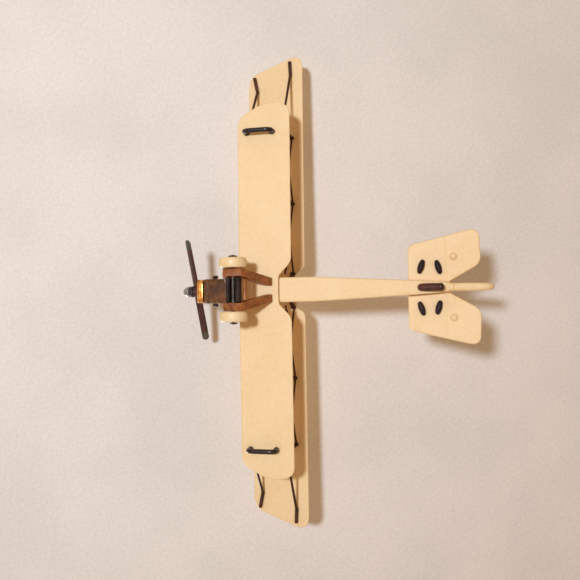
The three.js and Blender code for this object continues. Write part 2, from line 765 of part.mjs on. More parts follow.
for (const side of SIDES) {
  piece(`landing_legs_${side.name}`, onSide(gearLegs(), side), GEAR_BROWN);
  const mesh = piece(`wheel_${side.name}`, wheel(), CREAM);
  mesh.position.set(side.sign * WHEEL.x, AXLE.y, AXLE.z);
  piece(`hub_cap_${side.name}`, onSide(hubCap(), side), DARK_METAL);
}

// A round rod bent into a staple under each lower wing tip.
function wingHoop() {
  const x = 41;
  const radius = 0.62;
  const top = undersideAt(LOWER, x - 1) - GAP;
  const low = top - 2.6;
  const front = 2.5;
  const rear = 9.3;
  const bend = 0.9;
  return bentRod(
    [
      [x, front, top],
      [x, front - 0.3, low + bend],
      [x, front + bend - 0.4, low],
      [x, rear - bend + 0.4, low],
      [x, rear + 0.3, low + bend],
      [x, rear, top],
    ],
    radius,
  ).trimByPlane([0, 0, -1], -top);
}

for (const side of SIDES) {
  piece(`wing_hoop_${side.name}`, onSide(wingHoop(), side), BLACK_ENAMEL);
}

// ---------------------------------------------------------------------------------------------------
// Tail
// ---------------------------------------------------------------------------------------------------

// Tailplane and elevators in one, with a notch for the rudder and a control horn under each elevator.
function stabilizer() {
  const { lead, underside, thickness } = STABILIZER;
  const half = new THREE.Shape();
  half.moveTo(0, lead);
  half.lineTo(9.4, lead + 0.1);
  half.quadraticCurveTo(10.9, lead + 0.1, 11.3, lead + 2);
  half.lineTo(14.2, lead + 14.4);
  half.quadraticCurveTo(15.1, lead + 17.9, 12.3, lead + 17.9);
  half.lineTo(7.6, lead + 18.1);
  half.quadraticCurveTo(5.6, lead + 18.1, 4.6, lead + 16);
  half.lineTo(1.5, lead + 10.6);
  half.lineTo(0, lead + 10.2);
  const port = slab(half, underside, underside + thickness, 5);
  const horn = ball([7.7, 54.4, underside + 0.3], 1, 10);
  return joined(port, horn, mirrored(joined(port, horn)));
}

// Fin and rudder in one plate, standing in a slot of the tail.
function verticalTail() {
  const low = STABILIZER.underside + STABILIZER.thickness + GAP;
  const finFront = 44.6;
  const finHalf = 0.5;
  const rudderHalf = 1;
  const fin = outline([
    [finFront, low],
    [54, low],
    [54, low + 4.8],
    [52.6, low + 4.9],
    [49, low + 3.2],
  ]);
  const post = FUSELAGE.end + GAP;
  const rudder = new THREE.Shape();
  rudder.moveTo(post, bellyAt(post) + 0.2);
  rudder.lineTo(61, 5);
  rudder.quadraticCurveTo(64.6, 5.6, 64.4, 8.4);
  rudder.quadraticCurveTo(64.2, 13.6, 59, 14.6);
  rudder.quadraticCurveTo(54.6, 15, post, low + 4.6);
  const plates = joined(
    sideways(fin, -finHalf, finHalf),
    sideways(rudder, -rudderHalf, rudderHalf, 6),
  );
  const notch = block([-2, 40, STABILIZER.underside - GAP], [2, STABILIZER.lead + 10.6 + GAP, low]);
  return plates.subtract(notch);
}

piece("stabilizer", stabilizer(), CREAM);
piece("vertical_tail", verticalTail(), CREAM);

const STUB_RADIUS = 0.78;
const TAIL_STRUTS = [
  { name: "front", inner: [4.2, 46.05], outer: [6.4, 46.75] },
  { name: "rear", inner: [4.0, 50.95], outer: [6.2, 50.35] },
];
for (const side of SIDES) {
  for (const { name, inner, outer } of TAIL_STRUTS) {
    const z = STABILIZER.underside - STUB_RADIUS - GAP;
    const stub = capsule([...inner, z], [...outer, z], STUB_RADIUS);
    piece(`tail_strut_${name}_${side.name}`, onSide(stub, side), BLACK_ENAMEL);
  }
}

// A short runner on a heel, which takes the tail's weight.
function tailSkid() {
  const { front, rear, rearZ, radius } = SKID;
  const frontZ = bellyAt(front) - radius * 0.35;
  const runner = capsule([0, front, frontZ], [0, rear, rearZ], radius, 10);
  const cutFront = bellyAt(front - 2) - GAP;
  const cutRear = bellyAt(rear + 2) - GAP;
  const above = outline([[front - 2, cutFront], [rear + 2, cutRear], [rear + 2, 9], [front - 2, 9]]);
  const heel = block([-0.6, rear - 1.6, rearZ], [0.6, rear - 0.1, 6]);
  return joined(runner, heel).subtract(sideways(above, -3, 3));
}

piece("tail_skid", tailSkid(), PROPELLER_WOOD);

// ---------------------------------------------------------------------------------------------------
// Standing attitude and origin
// ---------------------------------------------------------------------------------------------------

// The pitch at which the wheels and the rounded end of the skid touch one level plane.
function standingPitch() {
  const aft = SKID.rear - AXLE.y;
  const up = SKID.rearZ - AXLE.z;
  return Math.atan2(up, aft) + Math.asin((WHEEL.radius - SKID.radius) / Math.hypot(aft, up));
}

aircraft.rotation.x = -standingPitch();

const model = new THREE.Group();
model.add(aircraft);
model.updateMatrixWorld(true);
const bounds = new THREE.Box3().setFromObject(model, true);
aircraft.position.y = -(bounds.min.y + bounds.max.y) / 2;
aircraft.position.z = -bounds.min.z;

export default model;
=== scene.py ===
"""The looks of a biplane scale model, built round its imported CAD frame.

Lengths are millimetres in the aircraft's own frame, as in the CAD source: X to port, Y aft from the
lower wing's leading edge, Z up from the lower wing's flat underside. AIRCRAFT takes them to the row
frame, in metres.
"""

import json
from math import cos, hypot, pi, radians, sin, sqrt, tan

import bmesh
import bpy
import numpy as np
from mathutils import Matrix, Vector
from mathutils.geometry import delaunay_2d_cdt


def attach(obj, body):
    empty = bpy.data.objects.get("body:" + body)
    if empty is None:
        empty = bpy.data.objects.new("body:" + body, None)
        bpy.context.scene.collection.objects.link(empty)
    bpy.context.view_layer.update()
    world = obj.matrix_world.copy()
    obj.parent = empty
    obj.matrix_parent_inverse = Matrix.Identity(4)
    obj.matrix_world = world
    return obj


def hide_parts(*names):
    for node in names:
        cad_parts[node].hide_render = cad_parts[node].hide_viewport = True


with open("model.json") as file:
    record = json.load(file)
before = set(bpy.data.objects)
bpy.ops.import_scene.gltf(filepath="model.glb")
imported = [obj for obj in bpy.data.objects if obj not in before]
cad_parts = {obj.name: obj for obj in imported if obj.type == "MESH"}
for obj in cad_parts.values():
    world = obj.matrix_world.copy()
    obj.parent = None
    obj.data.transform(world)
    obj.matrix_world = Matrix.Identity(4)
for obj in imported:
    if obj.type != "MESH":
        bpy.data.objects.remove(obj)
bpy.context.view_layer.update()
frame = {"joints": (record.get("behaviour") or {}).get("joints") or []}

# ---- The aircraft's frame in the row frame ----

AXLE = {"y": 1.5, "z": -10.0, "radius": 0.45, "half": 8.45}
WHEEL = {"x": 6.6, "radius": 3.43, "width": 2.5, "bore": 0.65}
JOINTS = {joint["name"]: joint for joint in frame["joints"]}


def aircraft_matrix():
    """The thrust line gives the aircraft's direction, and the port wheel's centre its place."""
    port = Vector((1, 0, 0))
    aft = -Vector(JOINTS["propeller_spin"]["axis"]).normalized()
    turn = Matrix((port, aft, port.cross(aft))).transposed()
    wheel = Vector((WHEEL["x"], AXLE["y"], AXLE["z"])) * 0.001
    place = Vector(JOINTS["wheel_port_spin"]["pos_m"]) - turn @ wheel
    return Matrix.Translation(place) @ turn.to_4x4() @ Matrix.Scale(0.001, 4)


AIRCRAFT = aircraft_matrix()
AIRCRAFT_NP = np.array(AIRCRAFT)

# ---- Dimensions, from the CAD source ----

UPPER = {"half": 65.0, "lead": -0.5, "chord": 15.4, "underside": 13.4, "thickness": 1.5}
LOWER = {"half": 48.7, "lead": 0.0, "chord": 13.9, "underside": 0.0, "thickness": 1.5}
EDGE = 0.45  # thickness of a wing at its leading and trailing edges
SLOPE = tan(radians(1.0))  # the dihedral
GAP = 0.1  # between pieces that are glued or plugged together
CLEARANCE = 0.2  # round what turns
SPARS = {"front": 2.2, "rear": 11.6}
INNER_X, OUTER_X = 24.0, 42.3
STRUT_CHORD, STRUT_WIDTH = 1.3, 0.8
WIRE = 0.26  # radius
THRUST_Z = 4.5
PROPELLER_RADIUS, PROPELLER_Y, PROPELLER_REST = 15.0, -13.0, radians(27.8)
HALF_WIDTH, TAIL_HALF_WIDTH, STRAIGHT_END, STERN = 3.2, 1.35, 20.0, 53.5
DECK_TOP, SIDE_TOP = 8.8, 7.6
BELLY_FRONT = 10.7
TAIL_Z, TAIL_THICKNESS, TAIL_LEAD = 6.2, 1.2, 43.0
COCKPITS = {"front": 8.2, "rear": 18.4}
SIDES = {"port": 1, "starboard": -1}


def belly_at(y):
    return -0.2 + (y - BELLY_FRONT) * 0.1


def half_width_at(y):
    share = np.clip((y - STRAIGHT_END) / (STERN - STRAIGHT_END), 0, 1)
    return HALF_WIDTH + (TAIL_HALF_WIDTH - HALF_WIDTH) * share


def camber(wing, y):
    share = np.clip((y - wing["lead"]) / wing["chord"], 0, 1)
    return EDGE + (wing["thickness"] - EDGE) * np.sin(pi * np.sqrt(share))


def underside_at(wing, x):
    return wing["underside"] + np.abs(x) * SLOPE


def top_at(wing, x, y):
    return float(underside_at(wing, x) + camber(wing, y))


# ---- Mesh parts: each is (points, faces), in millimetres ----


def circle(count):
    """Evenly spaced angles all the way round."""
    return np.linspace(0, 2 * pi, count, endpoint=False)


def bezier(*controls, steps=10):
    """Points along a Bezier curve, without its last one."""
    t = np.linspace(0, 1, steps, endpoint=False)[:, None]
    points = [np.asarray(c, float) * np.ones_like(t) for c in controls]
    while len(points) > 1:
        points = [a * (1 - t) + b * t for a, b in zip(points, points[1:])]
    return [tuple(p) for p in points[0]]


def run(start, *bends):
    """A line from start through bends, each its steps and its controls. One step is a straight run."""
    points, at = [], start
    for steps, *controls in bends:
        points += bezier(at, *controls, steps=steps)
        at = controls[-1]
    return [*points, at]


def rounded(points, radius, steps=6, closed=False):
    """The same line with each corner bent over that distance."""
    points = [np.asarray(p, float) for p in points]
    count = len(points)
    made = []
    for i, corner in enumerate(points):
        if not closed and i in (0, count - 1):
            made.append(corner)
            continue
        before, after = points[i - 1], points[(i + 1) % count]
        reach = [min(radius, np.linalg.norm(p - corner) * 0.49) for p in (before, after)]
        start = corner + (before - corner) / np.linalg.norm(before - corner) * reach[0]
        end = corner + (after - corner) / np.linalg.norm(after - corner) * reach[1]
        for t in np.linspace(0, 1, steps):
            made.append(start * (1 - t) ** 2 + corner * 2 * t * (1 - t) + end * t**2)
    return np.array(made)


def resampled(points, spacing):
    """A closed outline with points at even distances."""
    points = np.asarray(points, float)
    points = np.vstack([points, points[:1]])
    runs = np.linalg.norm(np.diff(points, axis=0), axis=1)
    along = np.concatenate([[0], np.cumsum(runs)])
    count = max(3, int(round(along[-1] / spacing)))
    at = np.linspace(0, along[-1], count, endpoint=False)
    return np.column_stack([np.interp(at, along, points[:, k]) for k in range(points.shape[1])])


def skin(rings, caps=True):
    """Rings of equal length joined by quads, with their ends closed."""
    rings = np.asarray(rings, float)
    count, around = rings.shape[:2]
    faces = []
    for i in range(count - 1):
        for j in range(around):
            k = (j + 1) % around
            faces.append((i * around + j, i * around + k, (i + 1) * around + k, (i + 1) * around + j))
    if caps:
        faces.append(tuple(range(around)))
        faces.append(tuple(range((count - 1) * around, count * around)))
    return rings.reshape(-1, 3), faces


def closed_skin(rings):
    """Rings of equal length joined by quads, the last one to the first."""
    points, faces = skin([*rings, rings[0]], caps=False)
    last = len(points) - len(rings[0])
    return points[:last], [tuple(i % last for i in face) for face in faces]


def tube(points, radius, sides=16, ends="flat"):
    """A round rod along a line. Its ends are flat with a small chamfer, or round."""
    points = np.asarray(points, float)
    radii = np.full(len(points), radius, float) if np.isscalar(radius) else np.asarray(radius, float)
    tangents = np.gradient(points, axis=0)
    tangents /= np.linalg.norm(tangents, axis=1)[:, None]
    if ends == "round":
        turns = np.radians([85, 62, 40, 20])
        reach, shrink = np.sin(turns), np.cos(turns)
    else:
        reach, shrink = 0.18 * np.sin(np.radians([45])), np.array([0.82])
    count = len(reach)
    front = [points[0] - tangents[0] * radii[0] * r for r in reach]
    back = [points[-1] + tangents[-1] * radii[-1] * r for r in reach[::-1]]
    line = [*front, *points, *back]
    across = [tangents[0]] * count + list(tangents) + [tangents[-1]] * count
    sizes = [*(radii[0] * shrink), *radii, *(radii[-1] * shrink[::-1])]
    normal = np.cross(across[0], (0.3, 0.2, 0.93))
    rings = []
    angles = circle(sides)
    for centre, tangent, size in zip(line, across, sizes):
        normal = normal - tangent * normal.dot(tangent)
        normal /= np.linalg.norm(normal)
        other = np.cross(tangent, normal)
        rings.append([centre + size * (cos(a) * normal + sin(a) * other) for a in angles])
    return skin(rings)


def lathe(profile, sides=48, origin=(0, 0, 0), axis="x"):
    """A (radius, distance) profile turned about an axis through origin. A closed profile gives a ring."""
    profile = np.asarray(profile, float)
    ring_like = np.allclose(profile[0], profile[-1])
    if ring_like:
        profile = profile[:-1]
    angles = circle(sides)
    rings = []
    for radius, distance in profile:
        radius = max(radius, 1e-4)
        u, v = radius * np.cos(angles), radius * np.sin(angles)
        w = np.full(sides, distance)
        order = {"x": (w, u, v), "y": (u, w, v), "z": (u, v, w)}[axis]
        rings.append(np.column_stack(order) + np.asarray(origin, float))
    return closed_skin(rings) if ring_like else skin(rings)


def oval_ring(centre, a, b, sides=24, power=2.0):
    """A level ring with half axes a along X and b along Y."""
    t = circle(sides)
    x = a * np.sign(np.cos(t)) * np.abs(np.cos(t)) ** (2 / power)
    y = b * np.sign(np.sin(t)) * np.abs(np.sin(t)) ** (2 / power)
    return np.column_stack([centre[0] + x, centre[1] + y, np.full(sides, centre[2])])


def prism(outline, low, high, along="x", bevel=0.15, segments=3):
    """An outline in the other two axes, extruded from low to high, with rounded edges."""
    mesh = bmesh.new()
    first = {"x": 2, "y": 1, "z": 0}[along]  # where X stands in (u, v, w)
    ends = [[mesh.verts.new(np.roll((u, v, w), 3 - first)) for u, v in outline] for w in (low, high)]
    mesh.faces.new(ends[0])
    mesh.faces.new(list(reversed(ends[1])))
    count = len(outline)
    for i in range(count):
        j = (i + 1) % count
        mesh.faces.new((ends[0][j], ends[0][i], ends[1][i], ends[1][j]))
    bmesh.ops.recalc_face_normals(mesh, faces=mesh.faces)
    if bevel:
        sharp = [e for e in mesh.edges if e.calc_face_angle(0) > radians(25)]
        bmesh.ops.bevel(
            mesh, geom=sharp, offset=bevel, segments=segments, profile=0.5,
            affect="EDGES", clamp_overlap=True,
        )
    made = taken(mesh)
    mesh.free()
    return made


def oblong(left, right, low, high):
    """A rectangle's corners, counter-clockwise."""
    return [(left, low), (right, low), (right, high), (left, high)]


def block(low, high, bevel=0.1):
    return prism(oblong(low[0], high[0], low[1], high[1]), low[2], high[2], "z", bevel, 2)


def taken(mesh):
    mesh.verts.index_update()
    points = np.array([v.co for v in mesh.verts], float)
    return points, [tuple(v.index for v in f.verts) for f in mesh.faces]


def moved(part, turn=None, shift=(0, 0, 0)):
    """part turned by a 3 x 3 matrix about the origin, then shifted."""
    points, faces = part
    if turn is not None:
        points = points @ np.array(turn).T
    return points + np.asarray(shift, float), faces


def mirrored(part):
    points, faces = part
    return points * (-1, 1, 1), [tuple(reversed(f)) for f in faces]


def on_side(parts, sign):
    return parts if sign > 0 else [mirrored(p) for p in parts]


def merged(parts):
    points, faces, base = [], [], 0
    for p, f in parts:
        points.append(np.asarray(p, float))
        faces += [tuple(i + base for i in face) for face in f]
        base += len(p)
    return np.vstack(points), faces


def mesh_of(name, points, faces):
    """A Blender mesh whose faces all look outwards."""
    mesh = bpy.data.meshes.new(name)
    mesh.from_pydata(points.tolist(), [], faces)
    clean = bmesh.new()
    clean.from_mesh(mesh)
    bmesh.ops.recalc_face_normals(clean, faces=clean.faces)
    clean.to_mesh(mesh)
    clean.free()
    return mesh


def placed(name, data):
    """A new object in the scene."""
    item = bpy.data.objects.new(name, data)
    bpy.context.scene.collection.objects.link(item)
    return item


def cut(part, cutters):
    """part with the cutters taken out of it."""
    base, tool = [placed("cut", mesh_of("cut", *body)) for body in (part, merged(cutters))]
    modifier = base.modifiers.new("cut", "BOOLEAN")
    modifier.operation = "DIFFERENCE"
    modifier.solver = "EXACT"
    modifier.object = tool
    graph = bpy.context.evaluated_depsgraph_get()
    result = bmesh.new()
    result.from_mesh(base.evaluated_get(graph).to_mesh())
    made = taken(result)
    result.free()
    for item in (base, tool):
        mesh = item.data
        bpy.data.objects.remove(item)
        bpy.data.meshes.remove(mesh)
    return made


def inside(points, outline):
    """Which points lie inside a closed outline."""
    x, y = points[:, 0], points[:, 1]
    found = np.zeros(len(points), bool)
    for (ax, ay), (bx, by) in zip(outline, np.roll(outline, -1, axis=0)):
        crosses = (ay > y) != (by > y)
        with np.errstate(divide="ignore", invalid="ignore"):
            at = (bx - ax) * (y - ay) / (by - ay) + ax
        found ^= crosses & (x < at)
    return found


def inset(outline, distance):
    """A counter-clockwise outline moved inwards."""
    before, after = np.roll(outline, 1, axis=0), np.roll(outline, -1, axis=0)
    run = after - before
    run /= np.linalg.norm(run, axis=1)[:, None]
    return outline + distance * np.column_stack([-run[:, 1], run[:, 0]])


def plate(outline, top, bottom, edge=0.22, x_lines=None, y_lines=None, spacing=0.35):
    """A thin plate inside a counter-clockwise outline, between two height functions, with a round edge."""
    outline = resampled(outline, spacing)
    turns = np.radians([0, 22, 45, 67, 90])
    rings = [inset(outline, edge * (1 - cos(t))) for t in turns]
    low, high = outline.min(0), outline.max(0)
    if x_lines is None:
        x_lines = np.arange(low[0], high[0], 0.8)
    if y_lines is None:
        y_lines = np.arange(low[1], high[1], 0.6)
    grid = np.array(np.meshgrid(x_lines, y_lines)).reshape(2, -1).T
    grid = grid[inside(grid, inset(outline, edge + 0.16))]
    count = len(outline)
    flat = [Vector(p) for p in np.vstack([rings[-1], grid])]
    flat, _, triangles, _, _, _ = delaunay_2d_cdt(flat, [], [list(range(count))], 1, 1e-7)
    flat = np.array([tuple(p) for p in flat])

    def level(at, share):
        """at raised to the plate's middle for share 0, its top for 1 and its bottom for -1."""
        high, low = top(at[:, 0], at[:, 1]), bottom(at[:, 0], at[:, 1])
        return np.column_stack([at, (high + low) / 2 + (high - low) / 2 * share])

    rim = [level(rings[0], 0.0)]
    for ring, turn in zip(rings[1:-1], turns[1:-1]):
        rim += [level(ring, sin(turn)), level(ring, -sin(turn))]
    base_top = sum(len(ring) for ring in rim)
    base_low = base_top + len(flat)
    points = np.vstack([*rim, level(flat, 1.0), level(flat, -1.0)])
    faces = [tuple(i + base_top for i in t) for t in triangles]
    faces += [tuple(i + base_low for i in reversed(t)) for t in triangles]
    for side in (0, 1):
        starts = [0] + [count * (1 + 2 * k + side) for k in range(len(turns) - 2)]
        starts.append(base_low if side else base_top)
        for a, b in zip(starts, starts[1:]):
            for i in range(count):
                j = (i + 1) % count
                quad = (a + i, a + j, b + j, b + i)
                faces.append(quad if side == 0 else tuple(reversed(quad)))
    return points, faces


def both_halves(half):
    """A plan outline from its port half, which runs counter-clockwise."""
    half = np.asarray(half, float)
    return np.vstack([half, (half * (-1, 1))[::-1]])


def ridge(value, centres, half):
    """1 on each centre, falling smoothly to 0 at half away from it."""
    away = np.min(np.abs(np.subtract.outer(value, centres)), axis=-1)
    share = np.clip(1 - away / half, 0, 1)
    return share * share * (3 - 2 * share)


def band(value, low, high, soft):
    """1 between low and high, falling to 0 over soft outside."""
    return np.clip((value - low) / soft + 1, 0, 1) * np.clip((high - value) / soft + 1, 0, 1)


# ---- Pieces ----


def piece(name, parts, material, slot, stands_for=(), body="airframe", smooth=38, second=None):
    """One visible piece. second is (material, test), for the faces whose middle passes the test."""
    points, faces = merged(parts)
    mesh = mesh_of(name, points @ AIRCRAFT_NP[:3, :3].T + AIRCRAFT_NP[:3, 3], faces)
    mesh.materials.append(material)
    mesh.polygons.foreach_set("use_smooth", [True] * len(mesh.polygons))
    mesh.set_sharp_from_angle(angle=radians(smooth))
    if second:
        mesh.materials.append(second[0])
        chosen = [int(second[1](points[list(face)].mean(axis=0))) for face in faces]
        mesh.polygons.foreach_set("material_index", chosen)
    item = placed(name, mesh)
    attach(item, body)
    if stands_for:
        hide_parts(*stands_for)


def pair(stem, ending, parts, material, slot, **settings):
    """The port piece and its mirror image, which stand for stem_port and stem_starboard."""
    for side, sign in SIDES.items():
        name = f"{stem}_{side}"
        piece(f"{name}_{ending}", on_side(parts, sign), material, slot, [name], **settings)


# ---- Materials ----


def srgb(red, green, blue):
    """A colour given as 0 to 255 sRGB, in linear light."""
    made = []
    for value in (red, green, blue):
        share = value / 255
        made.append(share / 12.92 if share <= 0.04045 else ((share + 0.055) / 1.055) ** 2.4)
    return (*made, 1.0)


def node(tree, kind, settings=None, **inputs):
    """A shader node. An input is a value or another node's output, and _ in its name is a space."""
    made = tree.nodes.new("ShaderNode" + kind)
    for key, value in (settings or {}).items():
        setattr(made, key, value)
    for key, value in inputs.items():
        socket = made.inputs[key.replace("_", " ")]
        if isinstance(value, bpy.types.NodeSocket):
            tree.links.new(value, socket)
        else:
            socket.default_value = value
    return made


def fresh(owner):
    """The emptied node tree of a new material or world."""
    owner.use_nodes = True
    owner.node_tree.nodes.clear()
    return owner.node_tree


def millimetres(tree):
    """Rest positions in the aircraft's frame, in millimetres."""
    place = node(tree, "TexCoord").outputs["Object"]
    turn = AIRCRAFT.to_3x3().normalized().to_euler()
    settings = {"vector_type": "TEXTURE"}
    scale = (0.001,) * 3
    return node(
        tree, "Mapping", settings, Vector=place, Location=AIRCRAFT.translation, Rotation=turn, Scale=scale
    ).outputs[0]


def noise(tree, place, scale, detail):
    return node(tree, "TexNoise", Vector=place, Scale=scale, Detail=detail).outputs[0]


def ramp(tree, value, low, high, to_low=0.0, to_high=1.0):
    settings = {"interpolation_type": "SMOOTHSTEP"}
    return node(
        tree, "MapRange", settings, Value=value, From_Min=low, From_Max=high, To_Min=to_low, To_Max=to_high
    ).outputs[0]


def blended(tree, share, first, second, mode="MIX"):
    return node(tree, "MixRGB", {"blend_type": mode}, Fac=share, Color1=first, Color2=second).outputs[0]


def shaded(tree, tone, factor):
    """A colour times a grey factor."""
    grey = node(tree, "CombineXYZ", X=factor, Y=factor, Z=factor).outputs[0]
    return blended(tree, 1.0, tone, grey, "MULTIPLY")


def material(
    name, colour, other, rough, metallic=0.0, coat=0.0, broad=0.16, fine=1.6, speckle=0.05, specular=0.5,
    grain=None, recess_shade=None, worn=None, bump=0.15, bump_scale=3.5,
):
    """A painted, moulded or metal finish: two colours in clouds, painted shade darkening its recesses, and
    worn edges.
    """
    made = bpy.data.materials.new(name)
    tree = fresh(made)
    place = millimetres(tree)
    clouds = noise(tree, place, broad, 4.0)
    paint = blended(tree, ramp(tree, clouds, 0.36, 0.64), srgb(*colour), srgb(*other))
    specks = noise(tree, place, fine, 5.0)
    paint = shaded(tree, paint, ramp(tree, specks, 0.3, 0.7, 1 - speckle, 1 + speckle))
    if grain:
        settings = {"wave_type": "BANDS", "bands_direction": grain["direction"]}
        size, bend = grain["scale"], grain["distortion"]
        lines = node(tree, "TexWave", settings, Vector=place, Scale=size, Distortion=bend, Detail=3.0)
        share = ramp(tree, lines.outputs["Fac"], 0.2, 0.8, 0.0, 0.7)
        paint = blended(tree, share, paint, srgb(*grain["colour"]))
    if worn:
        settings = {"inside": True, "samples": 6, "only_local": True}
        edges = node(tree, "AmbientOcclusion", settings, Distance=0.00035)
        share = node(tree, "Math", {"operation": "MULTIPLY"})
        tree.links.new(ramp(tree, edges.outputs["AO"], 0.25, 0.65, 0.0, worn["share"]), share.inputs[0])
        tree.links.new(ramp(tree, noise(tree, place, 1.1, 6.0), 0.42, 0.58, 0.25, 1.0), share.inputs[1])
        paint = blended(tree, share.outputs[0], paint, srgb(*worn["colour"]))
    # Painted shade: where ambient occlusion finds a recess, the colour is multiplied towards a darker brown
    # tone, as shade would darken it.
    if recess_shade:
        recess = node(tree, "AmbientOcclusion", {"samples": 8}, Distance=recess_shade["reach"] * 0.001)
        share = ramp(tree, recess.outputs["AO"], 0.25, 0.95, recess_shade["share"], 0.0)
        paint = blended(tree, share, paint, srgb(*recess_shade["colour"]), "MULTIPLY")
    gloss = ramp(tree, specks, 0.3, 0.7, max(0.03, rough - 0.05), rough + 0.07)
    relief = noise(tree, place, bump_scale, 4.0)
    bumps = node(tree, "Bump", Height=relief, Strength=bump, Distance=0.00003)
    shader = node(
        tree, "BsdfPrincipled", Base_Color=paint, Roughness=gloss, Normal=bumps.outputs[0],
        Metallic=metallic, Coat_Weight=coat, Coat_Roughness=0.12, Specular_IOR_Level=specular,
    )
    node(tree, "OutputMaterial", Surface=shader.outputs[0])
    return made


# Tone and reach of the painted shade in the recesses of the cream parts.
RECESS_SHADE = {"colour": (190, 140, 84), "share": 0.5, "reach": 0.9}
CREAM = material(
    "cream_enamel", (246, 212, 162), (243, 207, 155), 0.5, broad=0.09, recess_shade=RECESS_SHADE,
    worn={"colour": (255, 230, 186), "share": 0.25}, bump=0.16, bump_scale=1.1, specular=0.22,
    speckle=0.015,
)
WHEEL_CREAM = material(
    "cream_moulding", (246, 216, 168), (238, 205, 152), 0.46, coat=0.04, broad=0.3, recess_shade=RECESS_SHADE, bump=0.1,
    specular=0.35, speckle=0.02,
)
FRAME_BROWN = material(
    "frame_brown", (80, 44, 28), (54, 30, 20), 0.5, specular=0.15,
    worn={"colour": (100, 62, 40), "share": 0.3},
)
# The gear legs carry painted shade in their recesses.
GEAR_BROWN = material(
    "gear_brown", (154, 86, 36), (114, 58, 23), 0.44, broad=0.35,
    recess_shade={"colour": (90, 50, 30), "share": 0.7, "reach": 0.8},
    worn={"colour": (190, 124, 66), "share": 0.4}, specular=0.3,
)
# Tan brown of the painted shadow that the spreader bars cast on the belly, given to the rod across the
# gear.
SHADOW_ROD_BROWN = material(
    "shadow_rod_brown", (172, 106, 52), (136, 76, 34), 0.45, coat=0.1, broad=0.5, specular=0.2,
)
# The engine carries painted shade in its recesses.
ENGINE = material(
    "engine_brown", (120, 76, 42), (82, 52, 30), 0.6, broad=0.5, fine=1.8,
    recess_shade={"colour": (80, 54, 40), "share": 0.5, "reach": 0.6}, worn={"colour": (130, 94, 62), "share": 0.2},
    bump=0.3, specular=0.22, speckle=0.1,
)
BRASS = material(
    "radiator_brass", (214, 140, 60), (186, 104, 38), 0.3, metallic=0.75, broad=0.4,
    worn={"colour": (240, 190, 110), "share": 0.6},
)
CORE = material("radiator_core", (62, 50, 40), (40, 34, 28), 0.5, metallic=0.5)
PROP_WOOD = material(
    "propeller_lacquer", (82, 45, 38), (58, 32, 30), 0.34, coat=0.12, broad=0.3,
    grain={"direction": "Y", "scale": 0.4, "distortion": 2.5, "colour": (52, 28, 25)},
    worn={"colour": (112, 70, 52), "share": 0.3}, specular=0.35,
)
SKID_BROWN = material("skid_brown", (88, 46, 36), (66, 34, 28), 0.4, broad=0.4, specular=0.4, speckle=0.02)
TIP_METAL = material("blade_tip_metal", (96, 90, 72), (74, 72, 58), 0.5, broad=0.5, specular=0.3)
DARK_METAL = material(
    "dark_metal", (66, 46, 44), (44, 32, 32), 0.36, metallic=0.3,
    worn={"colour": (120, 104, 96), "share": 0.4},
)
STEEL = material("bright_steel", (172, 168, 166), (140, 134, 132), 0.2, metallic=1.0, broad=0.8)
DULL_STEEL = material("dull_steel", (96, 84, 74), (62, 52, 46), 0.45, metallic=0.6, broad=0.6)
BLACK = material("black_enamel", (44, 31, 27), (30, 22, 20), 0.24, coat=0.15, broad=0.5, specular=0.3)
SATIN_BLACK = material("satin_black", (60, 44, 36), (38, 28, 24), 0.5, broad=0.5, specular=0.2)
STUB_BLACK = material("stub_black", (46, 31, 34), (34, 23, 25), 0.5, broad=0.5, specular=0.2)
LEATHER = material("coaming_leather", (112, 66, 40), (84, 46, 28), 0.6, broad=0.7, bump=0.4)
LINER = material("cockpit_liner", (104, 74, 50), (82, 58, 40), 0.6, broad=0.5)


def clear_plastic():
    """A clear moulding: mostly see-through, with gloss that grows at grazing angles."""
    made = bpy.data.materials.new("clear_plastic")
    tree = fresh(made)
    gloss = ramp(tree, noise(tree, millimetres(tree), 1.5, 3.0), 0.3, 0.7, 0.04, 0.14)
    tint = (0.86, 0.92, 0.9, 1)
    shader = node(tree, "BsdfPrincipled", Roughness=gloss, Base_Color=tint, Alpha=0.38, Coat_Weight=0.6)
    node(tree, "OutputMaterial", Surface=shader.outputs[0])
    return made


CLEAR = clear_plastic()

# ---- Wings ----

RIB_PITCH = 4.05
CHORD_SHARES = (
    0.035, 0.07, 0.11, 0.16, 0.22, 0.28, 0.35, 0.42, 0.5, 0.58, 0.66, 0.73, 0.8, 0.86, 0.91, 0.955,
)


def upper_plan():
    lead, trail, half = UPPER["lead"], UPPER["lead"] + UPPER["chord"], UPPER["half"]
    tip = [(10, (60.2, lead), (61.2, lead + 2.3)), (3, (half - 0.4, lead + 11.2))]
    tip.append((10, (half + 1.3, trail), (half - 3.2, trail)))
    cut_out = [(6, (6.0, trail), (5.4, trail - 1.2)), (6, (4.9, trail - 2.4), (3.4, trail - 2.4))]
    straight = [(1, (30, trail)), (1, (7.4, trail))]
    return both_halves(run((30, lead), (1, (56, lead)), *tip, *straight, *cut_out))


def lower_plan():
    lead, trail, half = LOWER["lead"], LOWER["lead"] + LOWER["chord"], LOWER["half"]
    tip = [(10, (45.6, lead + 0.2), (46.6, lead + 3)), (10, (half - 0.1, lead + 6), (half, lead + 9))]
    tip.append((10, (half, trail - 1.6), (47.6, trail), (45.4, trail)))
    root = (14, (6.4, trail), (5.4, trail - 2), (3.5, BELLY_FRONT - GAP))
    return both_halves(run((20, lead), (1, (43, lead)), *tip, (1, (20, trail)), (1, (8.4, trail)), root))


def rib_lines(half):
    ribs = np.arange(0, half - 1, RIB_PITCH)
    offsets = np.array([-1.3, -0.5, -0.25, 0, 0.25, 0.5, 1.3, RIB_PITCH / 2])
    lines = np.unique(np.round(np.add.outer(ribs, offsets).ravel(), 3))
    return ribs, np.unique(np.concatenate([lines, -lines]))


